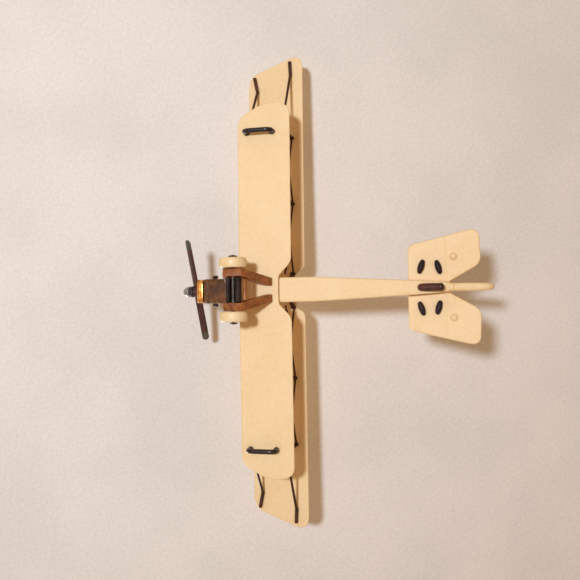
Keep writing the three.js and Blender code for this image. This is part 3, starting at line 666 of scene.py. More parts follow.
def wing(name, spec, plan, hinge, ends):
    """A wing with a flat underside, fabric that sags between its ribs on top, and softened tips.

    The ailerons' outlines are grooves: their hinge lines at Y = hinge, and their ends at X = ends.
    """
    trail = spec["lead"] + spec["chord"]
    ribs, x_lines = rib_lines(spec["half"])
    groove_lines = np.array([-0.22, -0.1, 0.1, 0.22])
    y_lines = [spec["lead"] + np.array(CHORD_SHARES) * spec["chord"], hinge + groove_lines]
    near = np.add.outer(ends, groove_lines).ravel()
    edge = plan[plan[:, 0] > 30]
    edge = edge[np.argsort(edge[:, 1])]

    def bottom(x, y):
        return underside_at(spec, x) + 0.0 * y

    def top(x, y):
        tip = np.interp(y, edge[:, 1], edge[:, 0])
        inner = np.clip((tip - np.abs(x)) / 4.0, 0, 1)
        rise = (camber(spec, y) - EDGE) * (0.3 + 0.7 * inner * (2 - inner))
        sag = band(y, spec["lead"] + 2.2, trail - 0.9, 0.8) * (1 - ridge(np.abs(x), ribs, 0.55)) * 0.07
        line = ridge(y, [hinge], 0.2) * band(np.abs(x), *ends, 0.05)
        sides = ridge(np.abs(x), np.array(ends), 0.2) * (y > hinge)
        return underside_at(spec, x) + EDGE + rise - sag - 0.14 * np.maximum(line, sides)

    x_lines = np.concatenate([x_lines, near, -near])
    part = plate(plan, top, bottom, 0.24, x_lines, np.concatenate(y_lines), 0.4)
    piece(f"{name}_skin", [part], CREAM, "cream_paint", [name], smooth=50)


wing("upper_wing", UPPER, upper_plan(), 11.3, (44.6, 60.0))
wing("lower_wing", LOWER, lower_plan(), 10.6, (30.4, 44.6))

# ---- Struts, rigging, braces and king posts ----


def bay_low(x, y):
    return top_at(LOWER, x, y) + GAP


def bay_high(x):
    return float(underside_at(UPPER, x)) - GAP


def strut(foot, head, width=STRUT_WIDTH, chord=STRUT_CHORD):
    """A strut of rounded section, slightly fuller at mid length, with a fitting plate at each end."""
    foot, head = np.array(foot, float), np.array(head, float)
    rings = []
    for share in np.linspace(0, 1, 12):
        full = 0.86 + 0.14 * sin(pi * share)
        rings.append(oval_ring(foot + (head - foot) * share, width / 2 * full, chord / 2 * full, 20, 1.8))
    parts = [skin(rings)]
    for end, way in ((foot, 1), (head, -1)):
        base = end + (0, 0, 0.02 * way)
        lip = [
            oval_ring(base, width * 0.62, chord * 0.6, 20, 2.4),
            oval_ring(base + (0, 0, 0.16 * way), width * 0.62, chord * 0.6, 20, 2.4),
            oval_ring(base + (0, 0, 0.3 * way), width * 0.5, chord * 0.5, 20, 2.2),
        ]
        parts.append(skin(lip))
    return parts


for spar, y in SPARS.items():
    for place, x in (("inner", INNER_X), ("outer", OUTER_X)):
        foot_z = bay_low(x + STRUT_WIDTH, y - STRUT_CHORD / 2) + GAP
        parts = strut((x, y, foot_z), (x, y, bay_high(x - STRUT_WIDTH)))
        pair(f"strut_{place}_{spar}", "moulding", parts, FRAME_BROWN, "frame_brown")
    parts = strut((2.5, y, DECK_TOP + 2 * GAP), (4.6, y, bay_high(3.8)))
    pair(f"cabane_strut_{spar}", "moulding", parts, FRAME_BROWN, "frame_brown")


def wire(start, end, radius=WIRE):
    """A wire with a turnbuckle near its lower end."""
    start, end = np.array(start, float), np.array(end, float)
    run = np.linalg.norm(end - start)
    at = np.array([0, 0.9, 1.15, 1.3, 2.3, 2.45, 2.7, run / 2, run]) / run
    size = radius * np.array([1, 1, 1, 1.5, 1.5, 1, 1, 1, 1])
    return tube([start + (end - start) * t for t in at], size, 12, "round")


def rigging(spar, way):
    y = SPARS[spar] + way * STRUT_CHORD / 4
    stations = (4.2, INNER_X, OUTER_X)
    low = [np.array((x, y, bay_low(x, SPARS["front"]) + 0.48)) for x in stations]
    high = [np.array((x, y, bay_high(x) - 0.48)) for x in stations]
    parts = []
    for i in (0, 1):
        parts.append(wire(low[i], high[i + 1]))
        parts.append(wire(low[i + 1], high[i]))
    for point in (low[1], high[1], low[2], high[2]):
        parts.append(tube([point - (0, 0.12, 0), point + (0, 0.12, 0)], 0.36, 14))
    return parts


def tip_brace(spar, knee_x, end_x, end_y):
    """A brace from the outer strut's foot to the overhanging tip, then flat under the tip."""
    y = SPARS[spar]
    foot_x = OUTER_X + STRUT_WIDTH / 2 + 0.6
    foot = np.array((foot_x, y, bay_low(foot_x, y) + 1.1))
    knee = np.array((knee_x, y, bay_high(knee_x) - 0.42))
    rod = tube([foot, foot + (knee - foot) * 0.5, knee], [0.3, 0.32, 0.38], 16, "round")
    start_x, half = knee_x - 0.6, 0.44
    under = bay_high(start_x)
    outline = [(start_x, y - half), (end_x, end_y - half), (end_x + 0.1, end_y + half), (start_x, y + half)]
    pad = prism(outline, under - 0.62, under, "z", 0.16, 3)
    return [rod, pad]


BRACES = {"front": (56, 59.9, 1.3), "rear": (60.2, 63.7, 11.4)}


def king_post():
    """Two posts with a ridge wire and stays down to the wing."""
    x = OUTER_X
    foot_z = top_at(UPPER, x + 0.5, SPARS["front"]) + GAP
    parts, heads = [], []
    for y in SPARS.values():
        foot, head = np.array((x, y, foot_z)), np.array((x, y, foot_z + 4.55))
        parts.append(tube([foot, foot + (head - foot) * 0.5, head], [0.44, 0.4, 0.35], 16))
        parts.append(tube([foot + (0, 0, 0.03), foot + (0, 0, 0.25)], 0.6, 16))
        heads.append(head)
        for reach in (-7.5, 7.5):
            end_x = x + reach
            end = (end_x, y, top_at(UPPER, end_x, y) - 0.02)
            parts.append(wire(end, head - (0, 0, 0.3), 0.15))
    low = np.array((0, 0, -0.4))
    parts.append(tube([heads[0] + low, heads[1] + low], 0.22, 12))
    return parts


for spar, way in (("front", -1), ("rear", 1)):
    pair(f"rigging_{spar}", "wires", rigging(spar, way), FRAME_BROWN, "frame_brown")
    pair(f"tip_brace_{spar}", "moulding", tip_brace(spar, *BRACES[spar]), FRAME_BROWN, "frame_brown")
pair("king_post", "moulding", king_post(), FRAME_BROWN, "frame_brown")

# ---- Fuselage ----


def body_ring(y, bottom, side_top, rise, widen=0.0):
    """One cross-section: flat belly with round corners, straight sides, and a curved deck."""
    w = float(half_width_at(y)) + widen
    corner = 0.5
    half = [(0.0, bottom), (w * 0.35, bottom), (w * 0.7, bottom)]
    for turn in np.radians([-90, -60, -30, 0]):
        half.append((w - corner + corner * cos(turn), bottom + corner + corner * sin(turn)))
    for share in np.linspace(0.15, 0.95, 6):
        half.append((w, bottom + corner + (side_top - 0.25 - bottom - corner) * share))
    for turn in np.radians([4, 14, 26, 38, 50, 62, 74, 84]):
        half.append((w * cos(turn) ** 0.8, side_top - 0.1 + (rise + 0.1) * sin(turn)))
    half.append((0.0, side_top + rise))
    full = half + [(-x, z) for x, z in reversed(half[1:-1])]
    return [(x, y, z) for x, z in full]


def fuselage():
    wing_top = LOWER["thickness"] + 2 * GAP
    step = TAIL_LEAD - 0.6
    formers = np.arange(STRAIGHT_END + 3, step, 4.0)

    def deck(y):
        """Height of the deck above the side's top."""
        if y < STRAIGHT_END + 1:
            return DECK_TOP - SIDE_TOP
        share = (y - STRAIGHT_END - 1) / (step - STRAIGHT_END - 1)
        return (DECK_TOP - SIDE_TOP) * (1 - share) ** 1.2 + 0.25 * share

    def side(y):
        share = max(0.0, (y - STRAIGHT_END) / (step - STRAIGHT_END))
        return SIDE_TOP - 0.3 * share

    rings = []
    front = [(-1.2, 0.5), (-0.9, 0.5), (-0.5, 0.5), (-0.12, 0.5), (-0.1, wing_top)]
    middle = [(y, wing_top) for y in np.arange(0.6, BELLY_FRONT, 0.8)] + [(BELLY_FRONT, wing_top)]
    for y, bottom in front + middle:
        rings.append(body_ring(y, bottom, side(y), deck(y)))
    for y in np.arange(BELLY_FRONT + GAP, step, 0.5):
        tight = 0.035 * (1 - float(ridge(np.array([y]), formers, 0.5)[0])) * float(band(y, 22.5, 41, 1.0))
        rings.append(body_ring(y, belly_at(y) + 0.5, side(y), deck(y), -tight))
    rings.append(body_ring(step, belly_at(step) + 1.2, side(step), deck(step)))
    top = TAIL_Z + 0.05
    for y in np.arange(step + 0.01, STERN, 0.7):
        rings.append(body_ring(y, belly_at(y) + 0.5, top - 0.2, 0.2))
    rings.append(body_ring(STERN + 0.3, belly_at(STERN) + 1.0, top - 0.2, 0.2, -0.3))
    cutters = []
    for y in COCKPITS.values():
        cutters.append(skin([oval_ring((0, y, z), 1.5, 1.9, 48) for z in (3.2, 12)]))
    return cut(skin(rings), cutters)


def belly_pan():
    """The long flat plank under the rear fuselage, from the wing to the stern, with softened edges."""
    nose, taper = 0.9, STERN - 3
    corner = (10, (HALF_WIDTH, BELLY_FRONT), (HALF_WIDTH, BELLY_FRONT + nose))
    stern = (10, (TAIL_HALF_WIDTH, STERN - 1), (0.9, STERN - 0.4), (0.85, STERN + 1))
    sides = [(1, (HALF_WIDTH, STRAIGHT_END)), (1, (float(half_width_at(taper)), taper))]
    outline = run((HALF_WIDTH - nose, BELLY_FRONT), corner, *sides, stern)

    def bottom(x, y):
        bow = 0.06 * np.clip(1 - (x / half_width_at(y)) ** 2, 0, 1)
        return belly_at(y) + 0.06 - bow

    def top(x, y):
        return belly_at(y) + 1.1 + 0.0 * x

    return plate(both_halves(outline), top, bottom, 0.3, spacing=0.3)


piece("fuselage_shell", [fuselage()], CREAM, "cream_paint", ["fuselage"], smooth=42)
piece("belly_plank", [belly_pan()], CREAM, "cream_paint", ["belly_pan"], smooth=50)


def coaming(y):
    """A cockpit's rim, a hard moulding in the shape of a stitched roll."""
    across, along = 1.72, 2.12
    rings = []
    for turn in circle(96):
        pinch = 1 - 0.12 * max(0.0, cos(turn * 16)) ** 4
        centre = np.array((across * cos(turn), y + along * sin(turn), DECK_TOP + 0.4))
        out = np.array((cos(turn) / across, sin(turn) / along, 0))
        out /= np.linalg.norm(out)
        rise = np.array((0, 0, 1.0))
        ring = [centre + 0.34 * pinch * (cos(a) * out * 0.8 + sin(a) * rise) for a in circle(14)]
        rings.append(ring)
    return closed_skin(rings)


def windscreen(y):
    """A small curved pane that leans back, with a rim."""
    base = np.array((0, y - 1.9 - 0.95, DECK_TOP + GAP))
    lean = radians(32)
    posts = []
    for across in np.linspace(-1.3, 1.3, 17):
        bow = 0.35 * (1 - (across / 1.3) ** 2)
        height = 1.55 - 0.5 * abs(across / 1.3) ** 2.5
        foot = base + (across, -bow * 0.4, -0.25 * (across / 1.3) ** 2)
        head = foot + np.array((0, sin(lean) * height, cos(lean) * height))
        posts.append((foot, head))
    thick = np.array((0, cos(lean), -sin(lean))) * 0.12
    points, faces = [], []
    for foot, head in posts:
        points += [foot, head, head + thick, foot + thick]
    for i in range(len(posts) - 1):
        for k in range(4):
            m = (k + 1) % 4
            faces.append((i * 4 + k, i * 4 + m, i * 4 + 4 + m, i * 4 + 4 + k))
    faces += [(0, 1, 2, 3), tuple(len(points) - 4 + k for k in range(4))]
    lift = (0, 0, 0.05)
    edge = [posts[0][0] + lift, *(head for _, head in posts), posts[-1][0] + lift]
    return (np.array(points), faces), tube(np.array(edge) + thick / 2, 0.11, 10, "round")


def cockpit(y):
    """A floor, a seat with a curved back, an instrument board with dials, and a stick."""
    floor = skin([oval_ring((0, y, z), 1.47, 1.87, 40) for z in (3.3, 3.5)])
    seat = block((-0.95, y + 0.1, 3.5), (0.95, y + 1.45, 4.5), 0.2)
    back = []
    for z, out in ((4.3, 0.0), (5.4, 0.06), (6.4, 0.0), (7.1, -0.12)):
        back.append(oval_ring((0, y + 1.35 + out * 2, z), 1.0 - 0.12 * (z > 7), 0.22, 24, 3))
    board = prism([(6.4, -0.8), (6.4, 0.8), (8.0, 0.7), (8.0, -0.7)], y - 1.6, y - 1.45, "y", 0.05, 2)
    dial = [(0, 0), (0.22, 0), (0.25, 0.04), (0, 0.04)]
    dials = [lathe(dial, 16, (x, y - 1.46, 7.2), "y") for x in (-0.4, 0.3)]
    stick = tube([(0, y - 0.5, 3.5), (0, y - 0.45, 5.0), (0, y - 0.3, 6.0)], 0.12, 10, "round")
    return [floor, seat, skin(back), board, *dials, stick]


for place, y in COCKPITS.items():
    piece(f"coaming_{place}_roll", [coaming(y)], LEATHER, "coaming_brown", [f"coaming_{place}"], smooth=60)
    pane, rim = windscreen(y)
    piece(f"windscreen_{place}_pane", [pane], CLEAR, "clear_plastic", [f"windscreen_{place}"], smooth=60)
    piece(f"windscreen_{place}_rim", [rim], FRAME_BROWN, "frame_brown")
    piece(f"cockpit_{place}_seat", cockpit(y), LINER, "coaming_brown")

# ---- Engine and nose ----

ENGINE_FRONT, ENGINE_REAR, ENGINE_BOTTOM, ENGINE_TOP, ENGINE_HALF = -9.9, -1.3, 0.8, 5.0, 3.2


def crankcase():
    """The crankcase and sump: low ribs across the underside, a flange along each side, and bolt heads."""
    b, t, w = ENGINE_BOTTOM, ENGINE_TOP, ENGINE_HALF
    pitch = 1.6

    def section(low, wide):
        half = [(low, wide - 0.7), (low + 0.85, wide), (b + 2.6, wide), (t, 1.9)]
        return half + [(z, -x) for z, x in reversed(half)]

    parts = [prism(section(b + 0.08, w - 0.06), ENGINE_FRONT, ENGINE_REAR, "y", 0.2, 3)]
    for y in np.arange(ENGINE_FRONT + 0.35, ENGINE_REAR - 0.5, pitch):
        parts.append(prism(section(b, w), y, y + 1.0, "y", 0.1, 2))
    flange = block((w - 0.2, ENGINE_FRONT + 0.3, b + 1.25), (w + 0.02, ENGINE_REAR - 0.3, b + 1.6), 0.05)
    parts += [flange, mirrored(flange)]
    bolt = [(0, -0.05), (0.14, -0.05), (0.17, 0.0), (0.17, 0.1), (0, 0.1)]
    for y in np.arange(ENGINE_FRONT + 0.85, ENGINE_REAR - 0.4, pitch):
        for x in (-1.8, 1.8):
            parts.append(lathe(bolt, 6, (x, y, b), "z"))
    return parts


def cylinder_bank():
    """Four finned cylinders that lean outwards, with their heads, rocker boxes and an intake pipe."""
    lean = radians(30)
    up = np.array((sin(lean), 0, cos(lean)))
    first = ENGINE_FRONT + 1.1
    pitch = 2.05
    turn = Matrix.Rotation(lean, 3, "Y")
    parts = []
    for i in range(4):
        foot = np.array((0.95, first + pitch * i, ENGINE_TOP + GAP + 0.5))
        profile = [(0, -0.1), (0.8, -0.1), (0.8, 0.25)]
        for k in range(5):
            z = 0.3 + k * 0.34
            profile += [(0.62, z), (0.84, z + 0.04), (0.84, z + 0.14), (0.62, z + 0.18)]
        profile += [(0.66, 2.05), (0.7, 2.2), (0.64, 2.5), (0.3, 2.65), (0, 2.68)]
        parts.append(moved(lathe(profile, 28, (0, 0, 0), "z"), turn, foot))
        head = foot + up * 2.35
        parts.append(tube([head + (0, -0.45, 0), head + (0, 0.45, 0)], 0.26, 12, "round"))
    low = np.array((0.95, first - 0.7, ENGINE_TOP + GAP + 0.55))
    high = np.array((0.95, first + pitch * 3 + 0.7, ENGINE_TOP + GAP + 0.55))
    parts.append(tube([low, high], 0.55, 16))
    return parts


def exhaust():
    x, y = ENGINE_HALF + 0.55, -8.0
    line = rounded([(x, y, 5.7), (x, y, 3.5), (x, y + 1.3, 2.7)], 0.7, 8)
    return [tube(line, 0.4, 18), tube([(x, y, 5.45), (x, y, 5.75)], 0.5, 18)]


RADIATOR = {"front": -11.75, "rear": -10.1, "bottom": 0.7, "top": 8.6, "half": 3.15, "rim": 0.75}


def rounded_frame(low, high, half, corner):
    return rounded(oblong(low, high, -half, half), corner, 8, closed=True)


def radiator_shell():
    """A rounded frame with a raised bead front and back."""
    r = RADIATOR
    stations = [
        (r["rear"], 0.12), (r["rear"] - 0.06, 0.03), (r["rear"] - 0.2, 0.0), (r["rear"] - 0.4, 0.0),
        (r["rear"] - 0.5, 0.1), (r["front"] + 0.55, 0.1), (r["front"] + 0.45, 0.0), (r["front"] + 0.2, 0.0),
        (r["front"] + 0.06, 0.05), (r["front"], 0.18), (r["front"], r["rim"] - 0.1),
        (r["front"] + 0.1, r["rim"]), (r["rear"] - 0.1, r["rim"]), (r["rear"], r["rim"] - 0.1),
    ]
    rings = []
    for y, shrink in stations:
        low, high = r["bottom"] + shrink, r["top"] - shrink
        outline = rounded_frame(low, high, r["half"] - shrink, 1.5 - shrink)
        rings.append([(x, y, z) for z, x in outline])
    return [closed_skin(rings)]


def radiator_core():
    """A finned core: a dark slab with thin upright fins and level tubes on its face."""
    r = RADIATOR
    inner = r["rim"] + GAP
    outline = rounded_frame(r["bottom"] + inner, r["top"] - inner, r["half"] - inner, 0.8)
    slab = prism([(z, x) for z, x in outline], r["front"] + 0.55, r["rear"] - 0.1, "y", 0.04, 1)
    hole = lathe([(0, -14.0), (0.5, -14.0), (0.5, -10.7), (0, -10.7)], 24, (0, 0, THRUST_Z), "y")
    parts = [cut(slab, [hole])]
    spans = [(r["bottom"] + inner + 0.12, THRUST_Z - 0.75), (THRUST_Z + 0.75, r["top"] - inner - 0.12)]
    for x in np.arange(-2.0, 2.01, 0.4):
        for low, high in spans:
            parts.append(block((x - 0.06, r["front"] + 0.4, low), (x + 0.06, r["front"] + 0.6, high), 0.02))
    for z in np.arange(r["bottom"] + inner + 0.35, r["top"] - inner - 0.2, 0.55):
        if abs(z - THRUST_Z) > 0.8:
            low, high = (-2.1, r["front"] + 0.46, z - 0.05), (2.1, r["front"] + 0.6, z + 0.05)
            parts.append(block(low, high, 0.02))
    return parts


piece("engine_casting", crankcase(), ENGINE, "engine_brown", ["engine_block"])
pair("cylinder_bank", "castings", cylinder_bank(), ENGINE, "engine_brown")
pair("exhaust_pipe", "bend", exhaust(), SATIN_BLACK, "black_enamel")
piece("radiator_frame", radiator_shell(), BRASS, "radiator_brass", ["radiator_shell"], smooth=40)
piece("radiator_fins", radiator_core(), CORE, "radiator_core", ["radiator_core"])

# ---- Propeller ----

SHAFT_TURN = Matrix.Rotation(PROPELLER_REST, 3, "Y")
HUB_REAR, HUB_BLADE, HUB_FRONT = 0.6, -0.75, -1.8
BORE = 0.6
BLADE_ROUND_FROM = 0.94  # of the radius, where the tip's rounding starts
BLADE_TIP_LENGTH = 2.3  # of the metal sheath


def in_shaft(part):
    return moved(part, SHAFT_TURN, (0, PROPELLER_Y, THRUST_Z))


def blade():
    """One blade: an airfoil-like section whose chord, thickness and pitch change from root to tip."""
    rings = []
    round_from = BLADE_ROUND_FROM
    turns = np.linspace(0.1, pi / 2, 10)
    tip_shares = round_from + (1 - round_from) * np.sin(turns)
    shares = np.concatenate([np.linspace(0.085, round_from, 34), tip_shares])
    for share in shares:
        tip = sqrt(max(0.012, 1 - max(0.0, (share - round_from) / (1 - round_from)) ** 2))
        chord = (0.86 + 0.08 * sqrt(share)) * tip
        thick = (0.58 - 0.24 * share) * sqrt(tip)
        pitch = radians(70 - 7 * sqrt(share))
        sweep = 0.03 * sin(pi * share)
        ring = []
        for turn in circle(28):
            u = cos(turn)
            v = sin(turn) * (0.92 + 0.22 * u) * (1.0 if sin(turn) > 0 else 0.7)
            across, through = u * chord + sweep, v * thick
            ring.append((
                share * PROPELLER_RADIUS,
                across * sin(pitch) + through * cos(pitch),
                through * sin(pitch) - across * cos(pitch),
            ))
        rings.append(ring)
    rings = np.array(rings)
    near = np.clip((2.4 - rings[:, :, 0]) / 1.2, 0, 1)
    within = np.clip(rings[:, :, 1], HUB_BLADE + 0.06, HUB_REAR - 0.06)
    rings[:, :, 1] = rings[:, :, 1] * (1 - near) + within * near
    return skin(rings)


def propeller_parts():
    one = blade()
    other = moved(one, Matrix.Rotation(pi, 3, "Y"))
    low, high = HUB_BLADE, HUB_REAR
    profile = [(BORE, low), (1.3, low), (1.45, low + 0.12), (1.45, high - 0.12), (1.3, high), (BORE, high)]
    boss = lathe([*profile, profile[0]], 48, axis="y")
    return [in_shaft(p) for p in (one, other, boss)]


def is_tip(middle):
    away = middle - np.array((0, PROPELLER_Y, THRUST_Z))
    return hypot(away[0], away[2]) > PROPELLER_RADIUS - BLADE_TIP_LENGTH


piece(
    "propeller_blades", propeller_parts(), PROP_WOOD, "propeller_brown", ["propeller"], "propeller",
    smooth=45, second=(TIP_METAL, is_tip),
)


def hub_parts():
    """A turned collar with a groove near its rear edge."""
    f, b = HUB_FRONT, HUB_BLADE - GAP
    front_lip = [(BORE, f), (1.3, f), (1.4, f + 0.06), (1.44, f + 0.2), (1.44, b - 0.4)]
    rear_lip = [(1.38, b - 0.36), (1.38, b - 0.3), (1.5, b - 0.26), (1.5, b - 0.06), (1.44, b), (BORE, b)]
    collar = lathe([*front_lip, *rear_lip, front_lip[0]], 48, axis="y")
    ribs = []
    for turn in np.radians(np.arange(0, 360, 30)):
        x, z = 1.46 * cos(turn), 1.46 * sin(turn)
        ribs.append(in_shaft(tube([(x, f + 0.35, z), (x, b - 0.5, z)], 0.06, 8, "round")))
    return [in_shaft(collar), *ribs]


def pin_parts():
    back = PROPELLER_Y + HUB_FRONT - GAP
    length = RADIATOR["front"] + 1.0 - back
    wide, tall = 1.4, 1.95
    profile = [(0, length), (0.4, length), (0.4, 0.0), (wide - 0.1, 0.0), (wide, -0.08)]
    for turn in np.radians(np.arange(10, 91, 8)):
        profile.append((wide * cos(turn), -0.08 - (tall - 0.1) * sin(turn)))
    return [lathe(profile, 40, (0, back, THRUST_Z), "y")]


piece("propeller_hub_collar", hub_parts(), DARK_METAL, "dark_metal", ["propeller_hub"], "propeller")
piece("propeller_pin_turned", pin_parts(), STEEL, "bright_steel", ["propeller_pin"], smooth=40)

# ---- Landing gear ----


def gear_legs():
    """A V-shaped leg with rounded edges: its foot carries the axle, its arms rise to the fuselage."""
    foot, top = AXLE["z"] - 0.9, -GAP - 0.1
    corners = [
        (-1.1, foot + 0.6), (-0.7, foot), (3.9, foot), (4.4, foot + 0.9), (9.1, top), (7.4, top),
        (2.9, AXLE["z"] + 1.7), (0.6, AXLE["z"] + 1.7), (-1.0, top), (-2.9, top), (-1.4, AXLE["z"] + 1),
    ]
    outline = rounded(corners, 0.5, 4, closed=True)
    part = moved(prism(outline, -0.99, 0.99, "x", 0.26, 4), shift=(0, 0, -AXLE["z"]))
    hole = lathe([(0, -3), (0.55, -3), (0.55, 3), (0, 3)], 32, (0, AXLE["y"], 0), "x")
    part = cut(moved(part, Matrix.Rotation(-radians(12), 3, "Y")), [hole])
    points, faces = part
    points[:, 2] = np.minimum(points[:, 2], top - AXLE["z"])
    return [moved((points, faces), shift=(4.1, 0, AXLE["z"]))]


def wheel_parts(sign):
    """A disc wheel: a rounded tyre, a groove at its bead, a gently coned cover and a hub boss."""
    r, half, bore = WHEEL["radius"], WHEEL["width"] / 2, WHEEL["bore"]
    side = [(bore, 0.86 * half), (0.26 * r, 0.9 * half), (0.3 * r, 0.8 * half), (0.5 * r, 0.73 * half)]
    side += [(0.66 * r, 0.62 * half), (0.695 * r, 0.56 * half)]
    side += [(0.72 * r, 0.66 * half), (0.745 * r, 0.88 * half)]
    for turn in np.radians(np.arange(100, -1, -12.5)):
        out = half * sin(turn) ** 0.8 if turn > 0 else 0.0
        side.append((r * 0.855 + r * 0.145 * cos(turn), out))
    profile = side + [(a, -b) for a, b in reversed(side[:-1])]
    profile.append(profile[0])
    return [lathe(profile, 72, (sign * WHEEL["x"], AXLE["y"], AXLE["z"]), "x")]


def hub_cap(sign):
    start = WHEEL["x"] + WHEEL["width"] / 2 + CLEARANCE
    profile = [(0.56, 0.0), (1.04, 0.0), (1.1, 0.05), (1.08, 0.15), (0.98, 0.27), (0.8, 0.34), (0.56, 0.35)]
    profile.append(profile[0])
    profile = [(a, sign * (start + b)) for a, b in profile]
    return [lathe(profile, 40, (0, AXLE["y"], AXLE["z"]), "x")]


def wrapped_bar(y, z, radius, half):
    """A round bar bound with cord: a core with a tight spiral over it, and a smooth collar at each end."""
    core = tube([(-half + 0.03, y, z), (0, y, z), (half - 0.03, y, z)], radius * 0.86, 24)
    turns = int((2 * half - 0.8) / 0.3)
    line = []
    for t in np.linspace(0, 1, turns * 16):
        around = t * turns * 2 * pi
        reach = radius * 0.86
        x = -half + 0.4 + t * (2 * half - 0.8)
        line.append((x, y + reach * cos(around), z + reach * sin(around)))
    cord = tube(line, radius * 0.13, 8, "round")
    collar = tube([(half - 0.35, y, z), (half - 0.06, y, z)], radius * 0.98, 24)
    other = tube([(0.35 - half, y, z), (0.06 - half, y, z)], radius * 0.98, 24)
    return [core, cord, other, collar]


pair("landing_legs", "moulding", gear_legs(), GEAR_BROWN, "gear_brown")
for side, sign in SIDES.items():
    wheel = f"wheel_{side}"
    piece(f"{wheel}_disc", wheel_parts(sign), WHEEL_CREAM, "cream_plastic", [wheel], wheel)
    piece(f"hub_cap_{side}_turned", hub_cap(sign), DARK_METAL, "dark_metal", [f"hub_cap_{side}"])

axle_line = [(x, AXLE["y"], AXLE["z"]) for x in (-AXLE["half"], 0, AXLE["half"])]
piece("axle_turned", [tube(axle_line, AXLE["radius"] - 0.01, 32)], DULL_STEEL, "bright_steel", ["axle"])
BAR_Z, BAR_HALF = AXLE["z"] - 0.35, 2.9
for place, y, radius in (("front", 0.3, 0.62), ("rear", 2.85, 0.75)):
    parts = wrapped_bar(y, BAR_Z, radius, BAR_HALF)
    piece(f"spreader_bar_{place}_bound", parts, SATIN_BLACK, "black_enamel", [f"spreader_bar_{place}"])


def axle_fairing():
    """A thin plate over the axle, with a rolled edge and a shallow rib on its lower side."""
    low = AXLE["z"] + AXLE["radius"] + GAP
    section = rounded(oblong(-0.5, 3.4, low, low + 0.5), 0.22, 6, closed=True)
    rib = rounded(oblong(1.2, 1.9, low - 0.06, low + 0.1), 0.1, 3, closed=True)
    return [prism(section, -2.74, 2.74, "x", 0.08, 2), prism(rib, -2.4, 2.4, "x", 0.04, 1)]


piece("axle_fairing_plate", axle_fairing(), SATIN_BLACK, "black_enamel", ["axle_fairing"])


# A brown rod across the gear, behind the spreader bars, where their cast shadow falls on the belly: a
# painted shadow given a body.
def shadow_rod():
    y, z = 4.15, AXLE["z"] + 1.1
    line = [(-2.58, y, z), (-2.2, y, z), (0, y, z), (2.2, y, z), (2.58, y, z)]
    return [tube(line, [0.62, 0.56, 0.54, 0.56, 0.62], 24)]


piece("gear_shadow_rod", shadow_rod(), SHADOW_ROD_BROWN, "gear_brown", ["gear_cross_brace"])


def wing_hoop():
    x = 41.0
    top = float(underside_at(LOWER, x - 1)) - GAP
    low = top - 2.6
    front, rear, bend = 2.5, 9.3, 0.9
    line = [
        (x, front, top - 0.05), (x, front - 0.3, low + bend), (x, front + 0.5, low),
        (x, rear - 0.5, low), (x, rear + 0.3, low + bend), (x, rear, top - 0.05),
    ]
    parts = [tube(rounded(line, 1.0, 8), 0.61, 24)]
    for y in (front, rear):
        parts.append(tube([(x, y, top - 0.06), (x, y, top - 0.28)], 0.74, 24))
    return parts


pair("wing_hoop", "wire", wing_hoop(), BLACK, "black_enamel", smooth=50)

# ---- Tail ----

HINGE_Y = 53.0


def stabilizer():
    lead = TAIL_LEAD
    side = [(10, (10.9, lead + 0.1), (11.3, lead + 2)), (4, (14.2, lead + 14.4))]
    rear = [(10, (15.1, lead + 17.9), (12.3, lead + 17.9)), (3, (7.6, lead + 18.1))]
    notch = [(10, (5.6, lead + 18.1), (4.6, lead + 16)), (5, (1.5, lead + 10.6)), (1, (0.4, lead + 10.4))]
    outline = both_halves(run((9.4, lead + 0.1), *side, *rear, *notch))
    ribs = np.arange(1.4, 15, 2.6)
    near = np.add.outer(ribs, [-0.6, -0.25, 0, 0.25, 0.6]).ravel()
    x_lines = np.unique(np.round(np.concatenate([near, -near, [0]]), 3))
    y_lines = np.concatenate([np.arange(lead + 0.4, lead + 18, 0.55), HINGE_Y + np.linspace(-0.9, 0.9, 13)])

    def thickness(y):
        front = np.clip((y - lead) / 4, 0, 1)
        rear = np.clip((lead + 18.1 - y) / 7, 0, 1)
        return 0.62 + 0.58 * np.sqrt(front * (2 - front)) * (0.35 + 0.65 * rear)

    def groove(x, y):
        return 0.1 * ridge(y, [HINGE_Y], 0.9) * np.clip((np.abs(x) - 1.6) / 0.8, 0, 1)

    def top(x, y):
        sag = 0.05 * (1 - ridge(np.abs(x), ribs, 0.5)) * band(y, lead + 2, lead + 16.8, 0.8)
        return TAIL_Z + thickness(y) - groove(x, y) - sag

    def bottom(x, y):
        return TAIL_Z + groove(x, y) + 0.0 * x

    parts = [plate(outline, top, bottom, 0.28, x_lines, y_lines, 0.35)]
    for sign in (1, -1):
        dome = [(0, 0.7)]
        for turn in np.radians([0, 18, 36, 54, 72, 90]):
            dome.append((1.0 * cos(turn), 0.25 - 0.95 * sin(turn)))
        parts.append(lathe([(0, 0.4), (1.0, 0.4)] + dome[1:], 32, (sign * 7.7, 54.4, TAIL_Z), "z"))
    return parts


